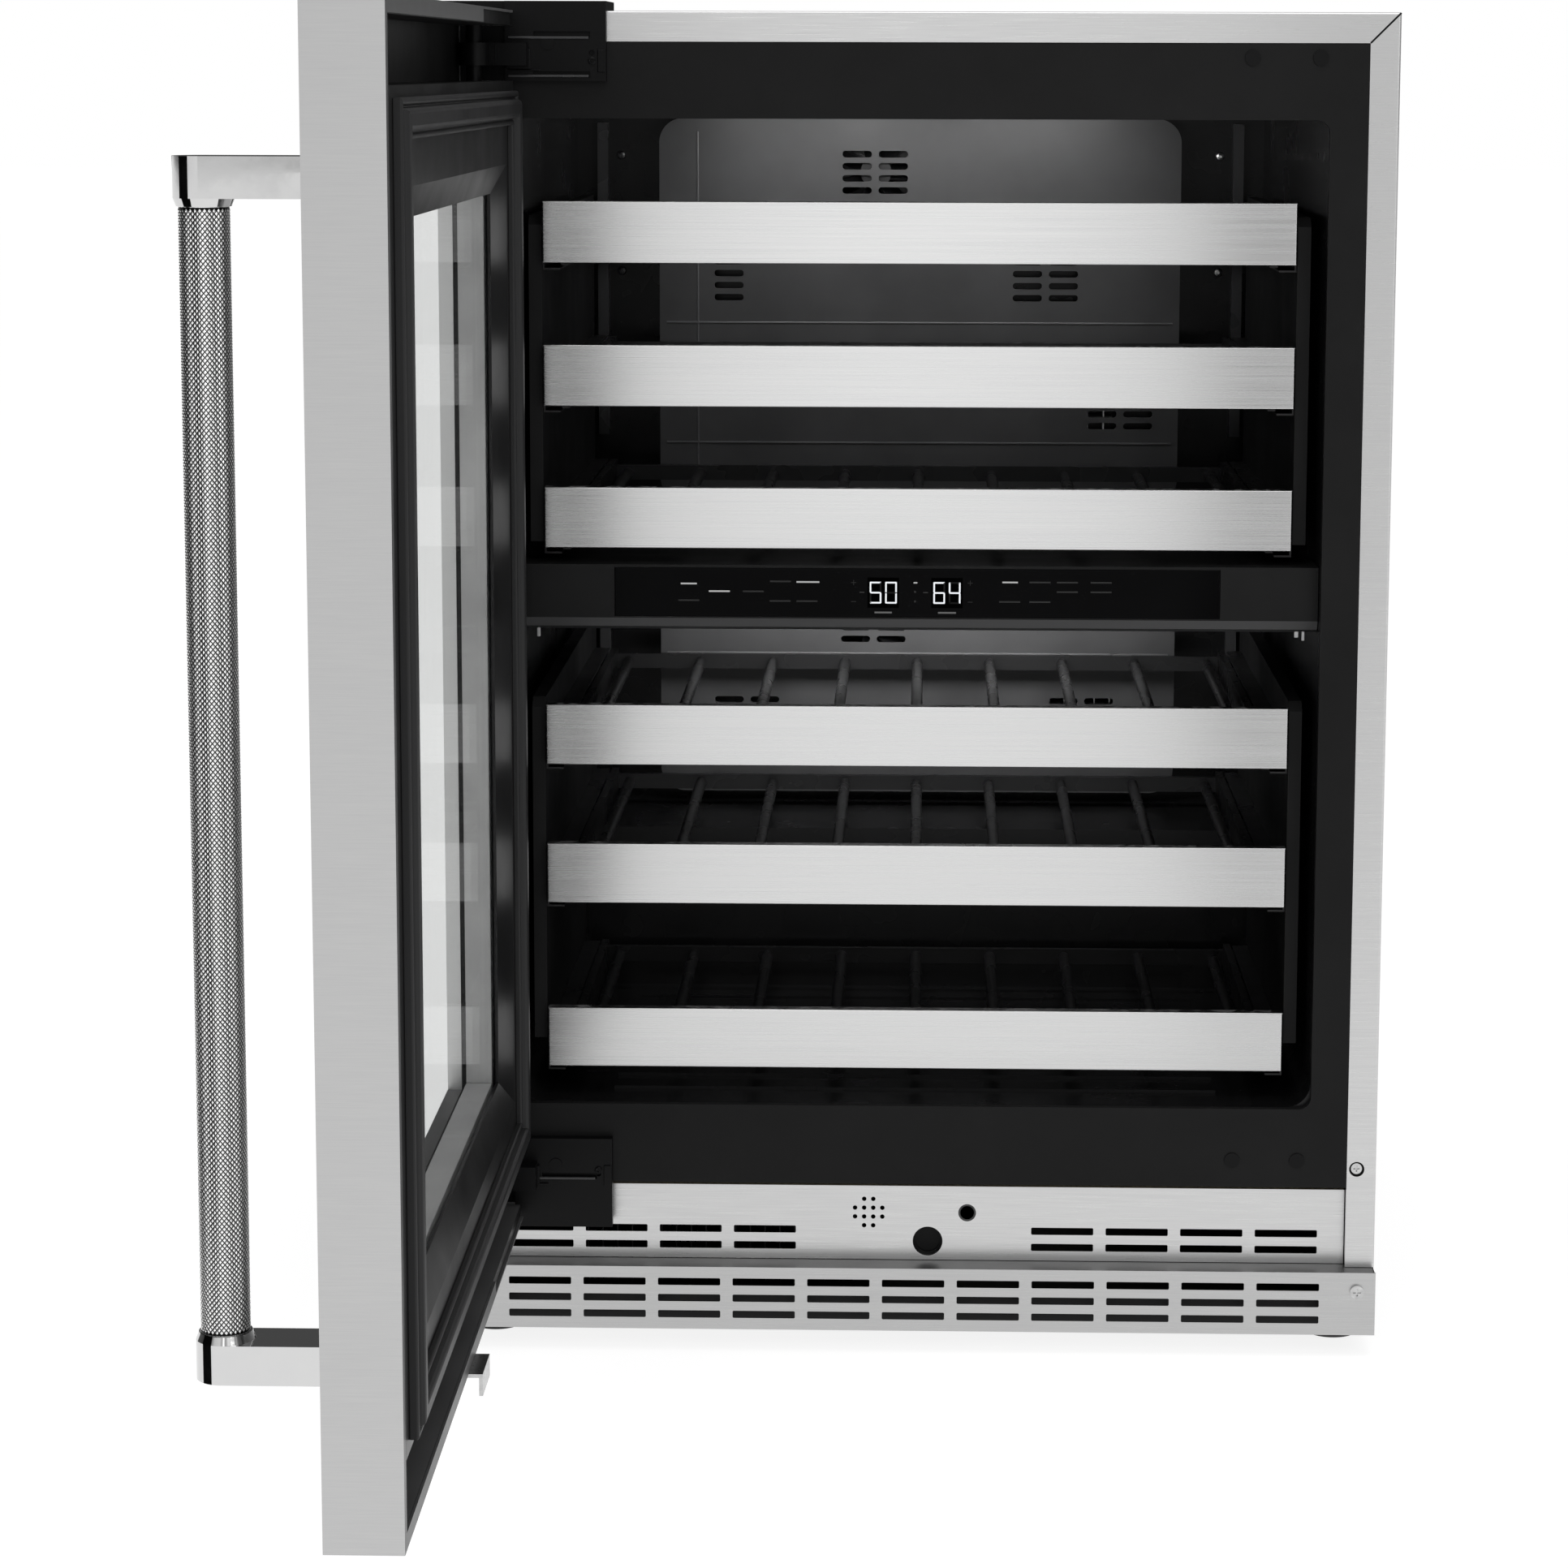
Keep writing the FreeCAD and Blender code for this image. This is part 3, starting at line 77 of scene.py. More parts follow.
def ramp(nodes_, links, fac, stops):
    """A colour by fac: stops are pairs of place and colour."""
    made = nodes_.new("ShaderNodeValToRGB")
    elements = made.color_ramp.elements
    while len(elements) < len(stops):
        elements.new(0.5)
    for element, (place, colour) in zip(elements, stops):
        element.position = place
        element.color = (*colour, 1)
    links.new(fac, made.inputs["Fac"])
    return made.outputs["Color"]


def spread(nodes_, links, fac, low, high):
    """The middle of a noise, 0.3 to 0.7, spread over low to high."""
    made = nodes_.new("ShaderNodeMapRange")
    made.inputs["From Min"].default_value = 0.3
    made.inputs["From Max"].default_value = 0.7
    made.inputs["To Min"].default_value = low
    made.inputs["To Max"].default_value = high
    links.new(fac, made.inputs["Value"])
    return made.outputs["Result"]


def bumped(nodes_, links, shader, fac, depth):
    """Relief in the shading from fac, its depth in metres."""
    bump = nodes_.new("ShaderNodeBump")
    bump.inputs["Strength"].default_value = 1.0
    bump.inputs["Distance"].default_value = depth
    links.new(fac, bump.inputs["Height"])
    links.new(bump.outputs["Normal"], shader.inputs["Normal"])


def give_light(shader, strength, colour=(1, 1, 1)):
    shader.inputs["Emission Color"].default_value = (*colour, 1)
    shader.inputs["Emission Strength"].default_value = strength


def brushed(name, tone, rough, scale, contrast=0.06, depth=0.00002):
    """Stainless steel with fine streaks along the axes whose scale is low."""
    mat, n, l, shader = principled(name, (tone,) * 3, rough, 1.0)
    fine = stretched_noise(n, l, scale, 4.0)
    low, high = tone * (1 - contrast), min(1.0, tone * (1 + contrast))
    l.new(ramp(n, l, fine, [(0.3, (low, low, low * 1.005)), (0.7, (high, high, high * 0.995))]),
          shader.inputs["Base Color"])
    l.new(spread(n, l, fine, rough + 0.04, rough - 0.04), shader.inputs["Roughness"])
    bumped(n, l, shader, fine, depth)
    return mat


def moulded(name, base, rough, grain=900.0, depth=0.00003, wobble=0.05, spec=0.5):
    """Plastic or painted metal with a fine all-over grain and slightly uneven gloss."""
    mat, n, l, shader = principled(name, base, rough, Specular_IOR_Level=spec)
    fine = stretched_noise(n, l, (grain,) * 3, 2.0)
    broad = stretched_noise(n, l, (14.0,) * 3, 3.0)
    dark, light = [tuple(c * k for c in base) for k in (0.85, 1.15)]
    l.new(ramp(n, l, broad, [(0.3, dark), (0.7, light)]), shader.inputs["Base Color"])
    l.new(spread(n, l, broad, rough - wobble, rough + wobble), shader.inputs["Roughness"])
    bumped(n, l, shader, fine, depth)
    return mat


def glowing(name, colour, strength, base=0.02):
    """A mark with its own light on a dark base: for the lit figures a lamp, for the printed marks and unlit
    segments a painted glow.
    """
    mat, n, l, shader = principled(name, (base,) * 3, 0.4, Specular_IOR_Level=0.1)
    give_light(shader, strength, colour)
    fine = stretched_noise(n, l, (60.0,) * 3, 2.0)
    l.new(spread(n, l, fine, 0.35, 0.45), shader.inputs["Roughness"])
    return mat


# streaks per metre along x, y and z: brushing runs along the axes that have few
TRIM_GRAIN = (22, 22, 1500)
DOOR_GRAIN = (34, 34, 1500)

steel_across = brushed("steel_brushed_across", 0.57, 0.30, TRIM_GRAIN, contrast=0.05, depth=0.000012)
steel_rack = brushed("steel_rack_satin", 0.60, 0.26, (6, 6, 1300), contrast=0.012, depth=0.000003)
steel_door = brushed("steel_door", 0.49, 0.32, DOOR_GRAIN, contrast=0.03, depth=0.000012)
steel_kick = brushed("steel_kick", 0.465, 0.30, TRIM_GRAIN, contrast=0.035, depth=0.000012)
# a much lighter copy of the door's steel for one side of the window's return: a painted highlight
steel_return_painted_highlight = brushed("steel_return_painted_highlight", 0.80, 0.40, DOOR_GRAIN, contrast=0.03)
# dark steel for the toe kick's ledge: a painted reflection of the dark front above it
ledge_painted_dark_reflection = brushed("ledge_painted_dark_reflection", 0.20, 0.36, TRIM_GRAIN, contrast=0.05)
chrome = brushed("chrome_polished", 0.62, 0.05, (40, 40, 40), contrast=0.015, depth=0.000002)
zinc = brushed("zinc_plate", 0.52, 0.30, (300, 300, 300), contrast=0.15)
galvanised = brushed("galvanised_sheet", 0.42, 0.42, (60, 60, 60), contrast=0.16, depth=0.00004)
aluminium = brushed("aluminium_satin", 0.62, 0.36, (6, 6, 900), contrast=0.05)


def along_the_grain(mat):
    """Horizontal brushing spreads a reflection up and down far more than sideways."""
    n, l = mat.node_tree.nodes, mat.node_tree.links
    shader = n["Principled BSDF"]
    shader.inputs["Anisotropic"].default_value = 0.85
    across = n.new("ShaderNodeCombineXYZ")
    across.inputs["Z"].default_value = 1.0
    l.new(across.outputs["Vector"], shader.inputs["Tangent"])


along_the_grain(steel_rack)


def make_knurl():
    """Painted shade in the grooves and painted highlights on the diamond tips, from the mesh's own height.
    """
    mat, n, l, shader = principled("steel_knurled", (0.6, 0.6, 0.6), 0.24, 1.0)
    raised = n.new("ShaderNodeAttribute")
    raised.attribute_name = "raised"
    # base colour from near black in the grooves, a painted shade, to brighter than the steel on the tips, a
    # painted highlight
    groove_shade_to_tip_highlight = [(0.0, (0.01,) * 3), (0.22, (0.07,) * 3), (0.42, (0.88,) * 3), (1.0, (1.0,) * 3)]
    l.new(ramp(n, l, raised.outputs["Fac"], groove_shade_to_tip_highlight), shader.inputs["Base Color"])
    l.new(spread(n, l, stretched_noise(n, l, (700,) * 3), 0.20, 0.30), shader.inputs["Roughness"])
    return mat


knurl_steel = make_knurl()
case_paint = moulded("case_paint", (0.010, 0.010, 0.0105), 0.45, grain=1600, depth=0.00005,
                     wobble=0.012, spec=0.2)
frame_black = moulded("frame_black", (0.0085, 0.0085, 0.0086), 0.42, grain=1400, depth=0.00003, spec=0.10)
liner_black = moulded("liner_black", (0.0060, 0.0060, 0.0063), 0.25, grain=700, depth=0.00002, spec=0.22)
bar_black = moulded("bar_black", (0.0075, 0.0075, 0.0076), 0.33, grain=900, depth=0.00002, spec=0.12)
door_black = moulded("door_black", (0.0100, 0.0100, 0.0103), 0.36, grain=800, depth=0.00003, spec=0.22)
hinge_black = moulded("hinge_black", (0.0030, 0.0030, 0.0032), 0.38, grain=1500, depth=0.00004, spec=0.12)
duct_black = moulded("duct_black", (0.045, 0.045, 0.046), 0.40, grain=500, depth=0.00002, spec=0.25)
rod_black = moulded("rod_black", (0.0090, 0.0090, 0.0093), 0.28, grain=1200, depth=0.00002, spec=0.25)
slide_black = moulded("slide_black", (0.0090, 0.0090, 0.0094), 0.30, grain=1200, depth=0.00002, spec=0.3)
rubber = moulded("gasket_rubber", (0.016, 0.016, 0.0165), 0.46, grain=1500, depth=0.00004, spec=0.25)
foot_black = moulded("foot_black", (0.010, 0.010, 0.010), 0.55, grain=1200, depth=0.00006, spec=0.15)
fan_black = moulded("fan_black", (0.0090, 0.0090, 0.0095), 0.35, grain=900, depth=0.00003, spec=0.2)
panel_gloss = moulded("panel_gloss", (0.0022, 0.0022, 0.0024), 0.10, grain=300, depth=0.000002,
                      wobble=0.02, spec=0.03)
foam = moulded("foam", (0.72, 0.64, 0.42), 0.80, grain=500, depth=0.0003, wobble=0.1,
               spec=0.2)
board_green = moulded("board_green", (0.02, 0.12, 0.05), 0.40, grain=900, depth=0.00003)
strip_smoked = moulded("strip_smoked", (0.030, 0.030, 0.031), 0.30, grain=600, depth=0.00002, spec=0.3)
pan_inside = moulded("pan_inside", (0.085, 0.085, 0.086), 0.40, grain=900, depth=0.00003, spec=0.35)
# near black for the cut edges of the vents: painted shade inside the slots
vent_edge_painted_shade = moulded("vent_edge_painted_shade", (0.012, 0.012, 0.012), 0.60, grain=900, depth=0.00003, spec=0.1)
bar_lip = moulded("bar_lip", (0.030, 0.030, 0.031), 0.35, grain=900, depth=0.00002, spec=0.35)
# a lighter black: on the hinge ribs it is a painted highlight, on the left wall screws a painted shade in
# place of zinc
hinge_rib = moulded("hinge_rib", (0.030, 0.030, 0.031), 0.30, grain=1200, depth=0.00002, spec=0.4)
spacer_grey = moulded("spacer_grey", (0.46, 0.46, 0.46), 0.45, grain=500, depth=0.00001, spec=0.4)
# a lighter grey for the pressed seams of the duct covers: painted highlights
seam_painted_highlight = moulded("seam_painted_highlight", (0.085, 0.085, 0.087), 0.35, grain=700, depth=0.00001, spec=0.4)
digit_glow = glowing("digit_glow", (0.93, 0.96, 1.0), 0.95)
# the printed marks and the unlit segments glow on a dark base: painted light in place of lit print
print_painted_glow_bright = glowing("print_painted_glow_bright", (1.0, 1.0, 1.0), 0.42)
print_painted_glow_soft = glowing("print_painted_glow_soft", (1.0, 1.0, 1.0), 0.10)
print_painted_glow_dim = glowing("print_painted_glow_dim", (1.0, 1.0, 1.0), 0.006)
unlit_painted_glow = glowing("unlit_painted_glow", (1.0, 1.0, 1.0), 0.0004, 0.004)


def make_glass():
    """Clear panes: their low index keeps the view straight and the reflection faint."""
    mat, n, l, shader = principled("window_glass", (0.89, 0.895, 0.892), 0.02, IOR=1.012,
                                   Transmission_Weight=1.0)
    haze = stretched_noise(n, l, (3, 3, 3), 2.0)
    l.new(spread(n, l, haze, 0.0, 0.02), shader.inputs["Roughness"])
    return mat


def make_display_black():
    """Matt black behind the lit figures, so that the windows show no reflection."""
    mat, n, l, shader = principled("display_window", (0.0008,) * 3, 0.05, Specular_IOR_Level=0.0)
    l.new(spread(n, l, stretched_noise(n, l, (80,) * 3), 0.04, 0.07), shader.inputs["Roughness"])
    return mat


glass = make_glass()
display_black = make_display_black()

looks = {
    "outer_case": case_paint, "back_panel": galvanised, "base_pan": case_paint,
    "inner_liner": liner_black, "insulation_foam": foam, "trim_top": steel_across,
    "trim_right": steel_across, "trim_left": steel_across, "front_frame": frame_black,
    "hole_plugs": hinge_black, "upper_grille": steel_across, "toe_kick_grille": steel_kick,
    "front_screws": zinc, "hinge_top_bracket": hinge_black, "hinge_bottom_bracket": hinge_black,
    "hinge_pins": hinge_black, "control_housing": bar_black, "control_glass": panel_gloss,
    "control_board": board_green, "duct_cover_upper": duct_black, "duct_cover_lower": duct_black,
    "light_strips": strip_smoked, "evaporator_coils": aluminium, "condenser_coil": slide_black,
    "condenser_shroud": fan_black, "compressor": case_paint, "power_box": fan_black,
    "cord_gland": fan_black, "slide_channels": slide_black, "rack_holders": frame_black,
    "door_frame": steel_door, "door_liner": door_black, "inner_glass": glass,
    "outer_glass": glass, "glass_spacer": spacer_grey, "handle_bracket_bottom": chrome,
    "handle_bracket_top": chrome, "lock_hook": zinc, "lock_barrel": hinge_black,
    "fan_upper": fan_black, "fan_lower": fan_black, "condenser_fan": fan_black,
    "handle_grip": knurl_steel, "door_gasket": rubber,
}
looks.update({n: foot_black for n in nodes if n.startswith("foot_")})
looks.update({n: steel_rack for n in nodes if n.startswith("rack_trim_")})
looks.update({n: rod_black for n in nodes if n.startswith("rack_frame_")})
for node, mat in looks.items():
    nodes[node].data.materials.clear()
    nodes[node].data.materials.append(mat)


def second_look(node, mat, chosen):
    """Another look for those faces of a carried-over part for which chosen(centre, normal) holds."""
    mesh = nodes[node].data
    mesh.materials.append(mat)
    last = len(mesh.materials) - 1
    for face in mesh.polygons:
        if chosen(face.center, face.normal):
            face.material_index = last


def door_looks():
    """The painted inside of the door pan, the pale return on the hinge side of its window, whose paleness is
    a painted highlight, and the pan's grey on the liner's channel floor, partly painted light.
    """
    low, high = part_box("door_frame")
    behind_sheet = low.x + 0.5 * MM
    middle = (low.z + high.z) / 2
    ledge_top, liner_face = 0.135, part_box("door_liner")[1].x - 0.5 * MM
    hinge_side, return_low, return_high = -0.2, 0.2, 0.77

    def inside_pan(c, n):
        level = abs(n.z) > 0.5 and (n.z > 0) == (c.z < middle)
        return c.x > behind_sheet and (n.x > 0.5 or level)

    second_look("door_frame", pan_inside, inside_pan)
    # the return's front-facing faces on the hinge side get the lighter steel: a painted highlight
    second_look("door_frame", steel_return_painted_highlight,
                lambda c, n: n.y < -0.5 and c.y > hinge_side and return_low < c.z < return_high)
    # the liner's upward faces low in the channel take the pan's grey: partly the pan's own paint colour,
    # partly painted light on a floor that lies in shade
    second_look("door_liner", pan_inside, lambda c, n: n.z > 0.5 and c.z < ledge_top and c.x < liner_face)


def cabinet_looks():
    """The toe kick's ledge, darkened as a painted reflection, the cut edges of the vents, darkened as
    painted shade, and the lower lip of the control bar.
    """
    kick_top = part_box("toe_kick_grille")[1].z - 2 * MM
    # the ledge's top faces are painted darker, standing in for the dark reflection they show
    second_look("toe_kick_grille", ledge_painted_dark_reflection, lambda c, n: n.z > 0.7 and c.z > kick_top)
    vents_reach = 0.28
    # the slots' side faces are painted near black: painted shade in the vents
    for grille, low, high in (("toe_kick_grille", 0.018, 0.053), ("upper_grille", 0.0625, 0.1045)):
        second_look(grille, vent_edge_painted_shade,
                    lambda c, n: abs(n.y) < 0.7 and abs(c.x) < vents_reach and low < c.z < high)
    lip_back = 0.035
    second_look("control_housing", bar_lip, lambda c, n: n.z < -0.2 and c.y < lip_back)


def clear_spacer():
    """The spacer stands a hair clear of the panes it touches, so that no faces coincide."""
    clear = nodes["glass_spacer"].modifiers.new("clear", "DISPLACE")
    clear.strength = -0.15 * MM
    clear.mid_level = 0.0


door_looks()
cabinet_looks()
clear_spacer()


# ---------------------------------------------------------------- mesh helpers
# a box's corners are numbered with z fastest, then y, then x
BOX_FACES = ((0, 1, 3, 2), (4, 6, 7, 5), (0, 4, 5, 1), (2, 3, 7, 6), (0, 2, 6, 4), (1, 5, 7, 3))


def piece(name, verts, faces, mat, body, smooth=False):
    """A new visible piece that rides on body."""
    mesh = bpy.data.meshes.new(name)
    mesh.from_pydata([tuple(v) for v in verts], [], faces)
    mesh.validate()
    work = bmesh.new()
    work.from_mesh(mesh)
    bmesh.ops.recalc_face_normals(work, faces=work.faces)
    work.to_mesh(mesh)
    work.free()
    mesh.materials.append(mat)
    if smooth:
        mesh.shade_smooth()
    obj = bpy.data.objects.new(name, mesh)
    bpy.context.scene.collection.objects.link(obj)
    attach(obj, body)
    return obj


def bevelled(obj, width, segments=2, angle=40):
    """Rounds the edges of a piece that are sharper than angle, in degrees."""
    made = obj.modifiers.new("bevel", "BEVEL")
    made.width = width
    made.segments = segments
    made.limit_method = "ANGLE"
    made.angle_limit = math.radians(angle)


def boxes(name, spans, mat, body):
    """One piece made of several boxes, each given as its lowest and highest corner."""
    verts, faces = [], []
    for low, high in spans:
        first = len(verts)
        verts += [(x, y, z) for x in (low[0], high[0]) for y in (low[1], high[1])
                  for z in (low[2], high[2])]
        faces += [[first + i for i in face] for face in BOX_FACES]
    return piece(name, verts, faces, mat, body)


def lathe(name, centre, axis, profile, mat, body, sides=48):
    """A closed turned piece: profile is pairs of radius and distance along the axis."""
    axis = Vector(axis)
    across = axis.orthogonal().normalized()
    other = axis.cross(across)
    verts, faces = [], []
    for radius, along in profile:
        for i in range(sides):
            a = 2 * math.pi * i / sides
            verts.append(Vector(centre) + axis * along
                         + (across * math.cos(a) + other * math.sin(a)) * radius)
    for j in range(len(profile) - 1):
        for i in range(sides):
            k = (i + 1) % sides
            faces.append((j * sides + i, j * sides + k, (j + 1) * sides + k, (j + 1) * sides + i))
    faces.append(tuple(range(sides)))
    faces.append(tuple((len(profile) - 1) * sides + i for i in range(sides)))
    made = piece(name, verts, faces, mat, body, True)
    made.data.set_sharp_from_angle(angle=math.radians(35))


# ---------------------------------------------------------------- handle
def knurled_grip():
    """The grip's diamond knurl: raised pyramids between two families of spiral grooves."""
    low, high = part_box("handle_grip")
    centre = (low + high) / 2
    radius = (high.x - low.x) / 2
    around, band, depth, pitch = 32, 1.6 * MM, 0.34 * MM, 2.85 * MM
    start, end = low.z + band, high.z - band
    rows = round((end - start) / pitch)
    step = (end - start) / rows
    verts, faces = [], []

    def ring(z, r, shift):
        first = len(verts)
        for i in range(around):
            a = 2 * math.pi * (i + shift) / around
            verts.append((centre.x + r * math.cos(a), centre.y + r * math.sin(a), z))
        return first

    # groove crossings stand on every half row, shifted by half a diamond each time
    crossings = [ring(start + step * j / 2, radius - depth, 0.5 * (j % 2))
                 for j in range(2 * rows + 1)]
    tips = [ring(start + step * j / 2, radius, 0.5 * ((j + 1) % 2))
            for j in range(1, 2 * rows)]
    for j in range(1, 2 * rows):
        below, level, above = crossings[j - 1], crossings[j], crossings[j + 1]
        tip = tips[j - 1]
        for i in range(around):
            # a diamond is centred half a step beside this level's crossings
            if j % 2:
                left, right = level + (i - 1) % around, level + i
            else:
                left, right = level + i, level + (i + 1) % around
            bottom, top, peak = below + i, above + i, tip + i
            faces += [(bottom, right, peak), (right, top, peak), (top, left, peak), (left, bottom, peak)]
    # a plain band closes each end: pairs of depth below the tips and distance from the knurl
    profile = ((depth, 0.2 * MM), (0.1 * MM, 0.3 * MM), (0.1 * MM, band - 0.4 * MM), (0.6 * MM, band))
    for z, previous, sign in ((start, crossings[0], -1), (end, crossings[-1], 1)):
        for below_tip, away in profile:
            current = ring(z + sign * away, radius - below_tip, 0)
            for i in range(around):
                k = (i + 1) % around
                faces.append((previous + i, previous + k, current + k, current + i))
            previous = current
        faces.append(tuple(previous + i for i in range(around)))
    # fill the half diamonds along both ends
    for first, second in ((crossings[0], crossings[1]), (crossings[-1], crossings[-2])):
        for i in range(around):
            faces.append((first + i, first + (i + 1) % around, second + i))
    grip = piece("grip_knurled", verts, faces, knurl_steel, "door")
    # the height from which the knurl's painted shade and highlights are read
    raised = grip.data.attributes.new("raised", "FLOAT", "POINT")
    for spot, vertex in zip(raised.data, grip.data.vertices):
        out = math.hypot(vertex.co.x - centre.x, vertex.co.y - centre.y)
        spot.value = max(0.0, min(1.0, (out - radius + depth) / depth))
    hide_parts("handle_grip")


knurled_grip()


# ---------------------------------------------------------------- door gasket
def gasket():
    """Magnetic seal: outer fin, groove, crowned magnet chamber, groove and inner fin."""
    low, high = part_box("door_gasket")
    width = 0.021
    base, tall = low.x, high.x - low.x
    profile = [(0.0, 0.0), (0.0, 0.52), (0.04, 0.62), (0.10, 0.64), (0.16, 0.56), (0.19, 0.38),
               (0.23, 0.38), (0.26, 0.72), (0.31, 0.93), (0.38, 1.0), (0.66, 1.0), (0.73, 0.93),
               (0.78, 0.72), (0.81, 0.34), (0.85, 0.34), (0.88, 0.46), (0.92, 0.50), (0.97, 0.46),
               (1.0, 0.36), (1.0, 0.0)]
    verts, faces = [], []
    for inset, lift in profile:
        d = inset * width
        verts += [(base + lift * tall, y, z) for y, z in (
            (low.y + d, low.z + d), (high.y - d, low.z + d), (high.y - d, high.z - d),
            (low.y + d, high.z - d))]
    count = len(profile)
    for j in range(count):
        for i in range(4):
            a, b = 4 * j, 4 * ((j + 1) % count)
            k = (i + 1) % 4
            faces.append((a + i, a + k, b + k, b + i))
    made = piece("gasket_profile", verts, faces, rubber, "door")
    bevelled(made, 0.4 * MM, angle=25)
    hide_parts("door_gasket")


gasket()


# ---------------------------------------------------------------- control bar
def control_marks():
    """Two lit figures in dark windows, and the printed dashes with a painted glow, all in mm from the
    panel's middle.
    """
    low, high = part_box("control_glass")
    middle = (low.z + high.z) / 2
    print_face, window_face, back = low.y - 0.08 * MM, low.y - 0.04 * MM, low.y + 0.2 * MM

    def bar(x0, x1, z0, z1, face=print_face):
        return (x0 * MM, face, middle + z0 * MM), (x1 * MM, back, middle + z1 * MM)

    def dash(x, half, z, tall=1.0):
        return bar(x - half, x + half, z, z + tall)

    def digit(x, z, wide=7.6, tall=14.2, line=1.05, gap=0.3):
        """The seven bars of one figure, by their usual letters."""
        level = z + tall / 2
        return {
            "a": bar(x + gap, x + wide - gap, z + tall - line, z + tall),
            "g": bar(x + gap, x + wide - gap, level - line / 2, level + line / 2),
            "d": bar(x + gap, x + wide - gap, z, z + line),
            "f": bar(x, x + line, level + gap, z + tall - gap),
            "b": bar(x + wide - line, x + wide, level + gap, z + tall - gap),
            "e": bar(x, x + line, z + gap, level - gap),
            "c": bar(x + wide - line, x + wide, z + gap, level - gap),
        }

    bars_of = {"5": "afgcd", "0": "abcdef", "6": "afgecd", "4": "fgbc"}
    pitch, foot = 10.0, -6.8
    lit, unlit = [], []
    for figures, x in (("50", -30.6), ("64", 10.6)):
        for i, figure in enumerate(figures):
            bars = digit(x + pitch * i, foot)
            lit += [bars[s] for s in bars_of[figure]]
            unlit += [bars[s] for s in "abcdefg" if s not in bars_of[figure]]
    boxes("display_digits", lit, digit_glow, "cabinet")
    # the unlit segments glow faintly: painted light
    boxes("display_digits_unlit", unlit, unlit_painted_glow, "cabinet")

    window_wide, window_low, window_high = 20.3, -9.6, 10.1
    boxes("display_windows", [bar(x, x + window_wide, window_low, window_high, window_face)
                              for x in (-32.0, 9.3)], display_black, "cabinet")

    # faint marks with a painted glow: plus and minus beside each figure, unlit dashes, and dots between the
    # figures
    dim = []
    for x in (-41.0, 34.4):
        dim += [dash(x, 1.6, 6.6, 0.4), dash(x, 0.2, 5.2, 3.2), dash(x, 1.6, -5.8, 0.4)]
    dim += [dash(x, 1.6, 0.1, 0.8) for x in (-35.6, 5.6)]
    dim += [dash(x, 6.8, z) for x, z in (
        (-147.8, -5.8), (-106.0, 0.2), (-88.4, 6.8), (-88.6, -6.0), (-71.2, -6.0), (79.5, 7.0),
        (97.2, 7.0), (119.0, 7.0), (97.2, 0.8), (119.0, 0.8), (60.0, -5.8), (79.5, -5.8))]
    dim += [dash(-1.2, 0.6, z, 1.2) for z in (0.3, -5.9)]
    boxes("panel_marks_dim", dim, print_painted_glow_dim, "cabinet")

    # printed labels below the figures, with a painted glow
    labels = [dash(x, half, -13.2, 1.1) for x, half in ((-21.8, 5.6), (19.5, 5.8))]
    boxes("panel_labels", labels, print_painted_glow_soft, "cabinet")
    # the brightest printed marks, with a painted glow
    bright = [dash(x, half, z) for x, half, z in (
        (-147.8, 5.2, 5.1), (-128.0, 6.8, 0.2), (-70.6, 7.4, 6.5), (60.2, 5.0, 6.9))]
    bright.append(dash(-1.0, 1.2, 6.4, 0.9))
    boxes("panel_marks", bright, print_painted_glow_bright, "cabinet")


control_marks()


# ---------------------------------------------------------------- small cabinet details
SUNK = 0.4 * MM         # how far a small part reaches into the sheet that it sits on


def hinge_details():
    """Pressed ribs, lighter as painted highlights, the raised arm stop, the little key plate and a dowel on
    each hinge.
    """
    plate = -0.007      # the face of both hinge plates
    back = plate + SUNK
    # the ribs are lighter than the hinge plates: painted highlights along the pressings
    ribs = [((-0.2600, plate - 0.0011, z), (-0.2090, back, z + 0.0016)) for z in (0.8553, 0.8313, 0.1142)]
    stops = []
    for low, high in ((0.8365, 0.8490), (0.1118, 0.1238)):
        stops += [((-0.2610, plate - 0.0030, low), (-0.2455, back, high)),
                  ((-0.2035, plate - 0.0010, low - 0.0020), (-0.1985, back, high)),
                  ((-0.2600, plate - 0.0014, low - 0.0012), (-0.2400, back, low - 0.0002))]
    bevelled(boxes("hinge_ribs", ribs, hinge_rib, "cabinet"), 0.5 * MM)
    bevelled(boxes("hinge_stops", stops, hinge_black, "cabinet"), 0.7 * MM)
    dowel = [(0.0024, -0.0004), (0.0024, 0.0008), (0.0019, 0.0012), (0.0012, 0.0012), (0.0010, 0.0004)]
    for i, z in enumerate((0.8416, 0.1205)):
        lathe(f"hinge_dowel_{i + 1}", (-0.2070, plate, z), (0, -1, 0), dowel, hinge_black, "cabinet", 24)


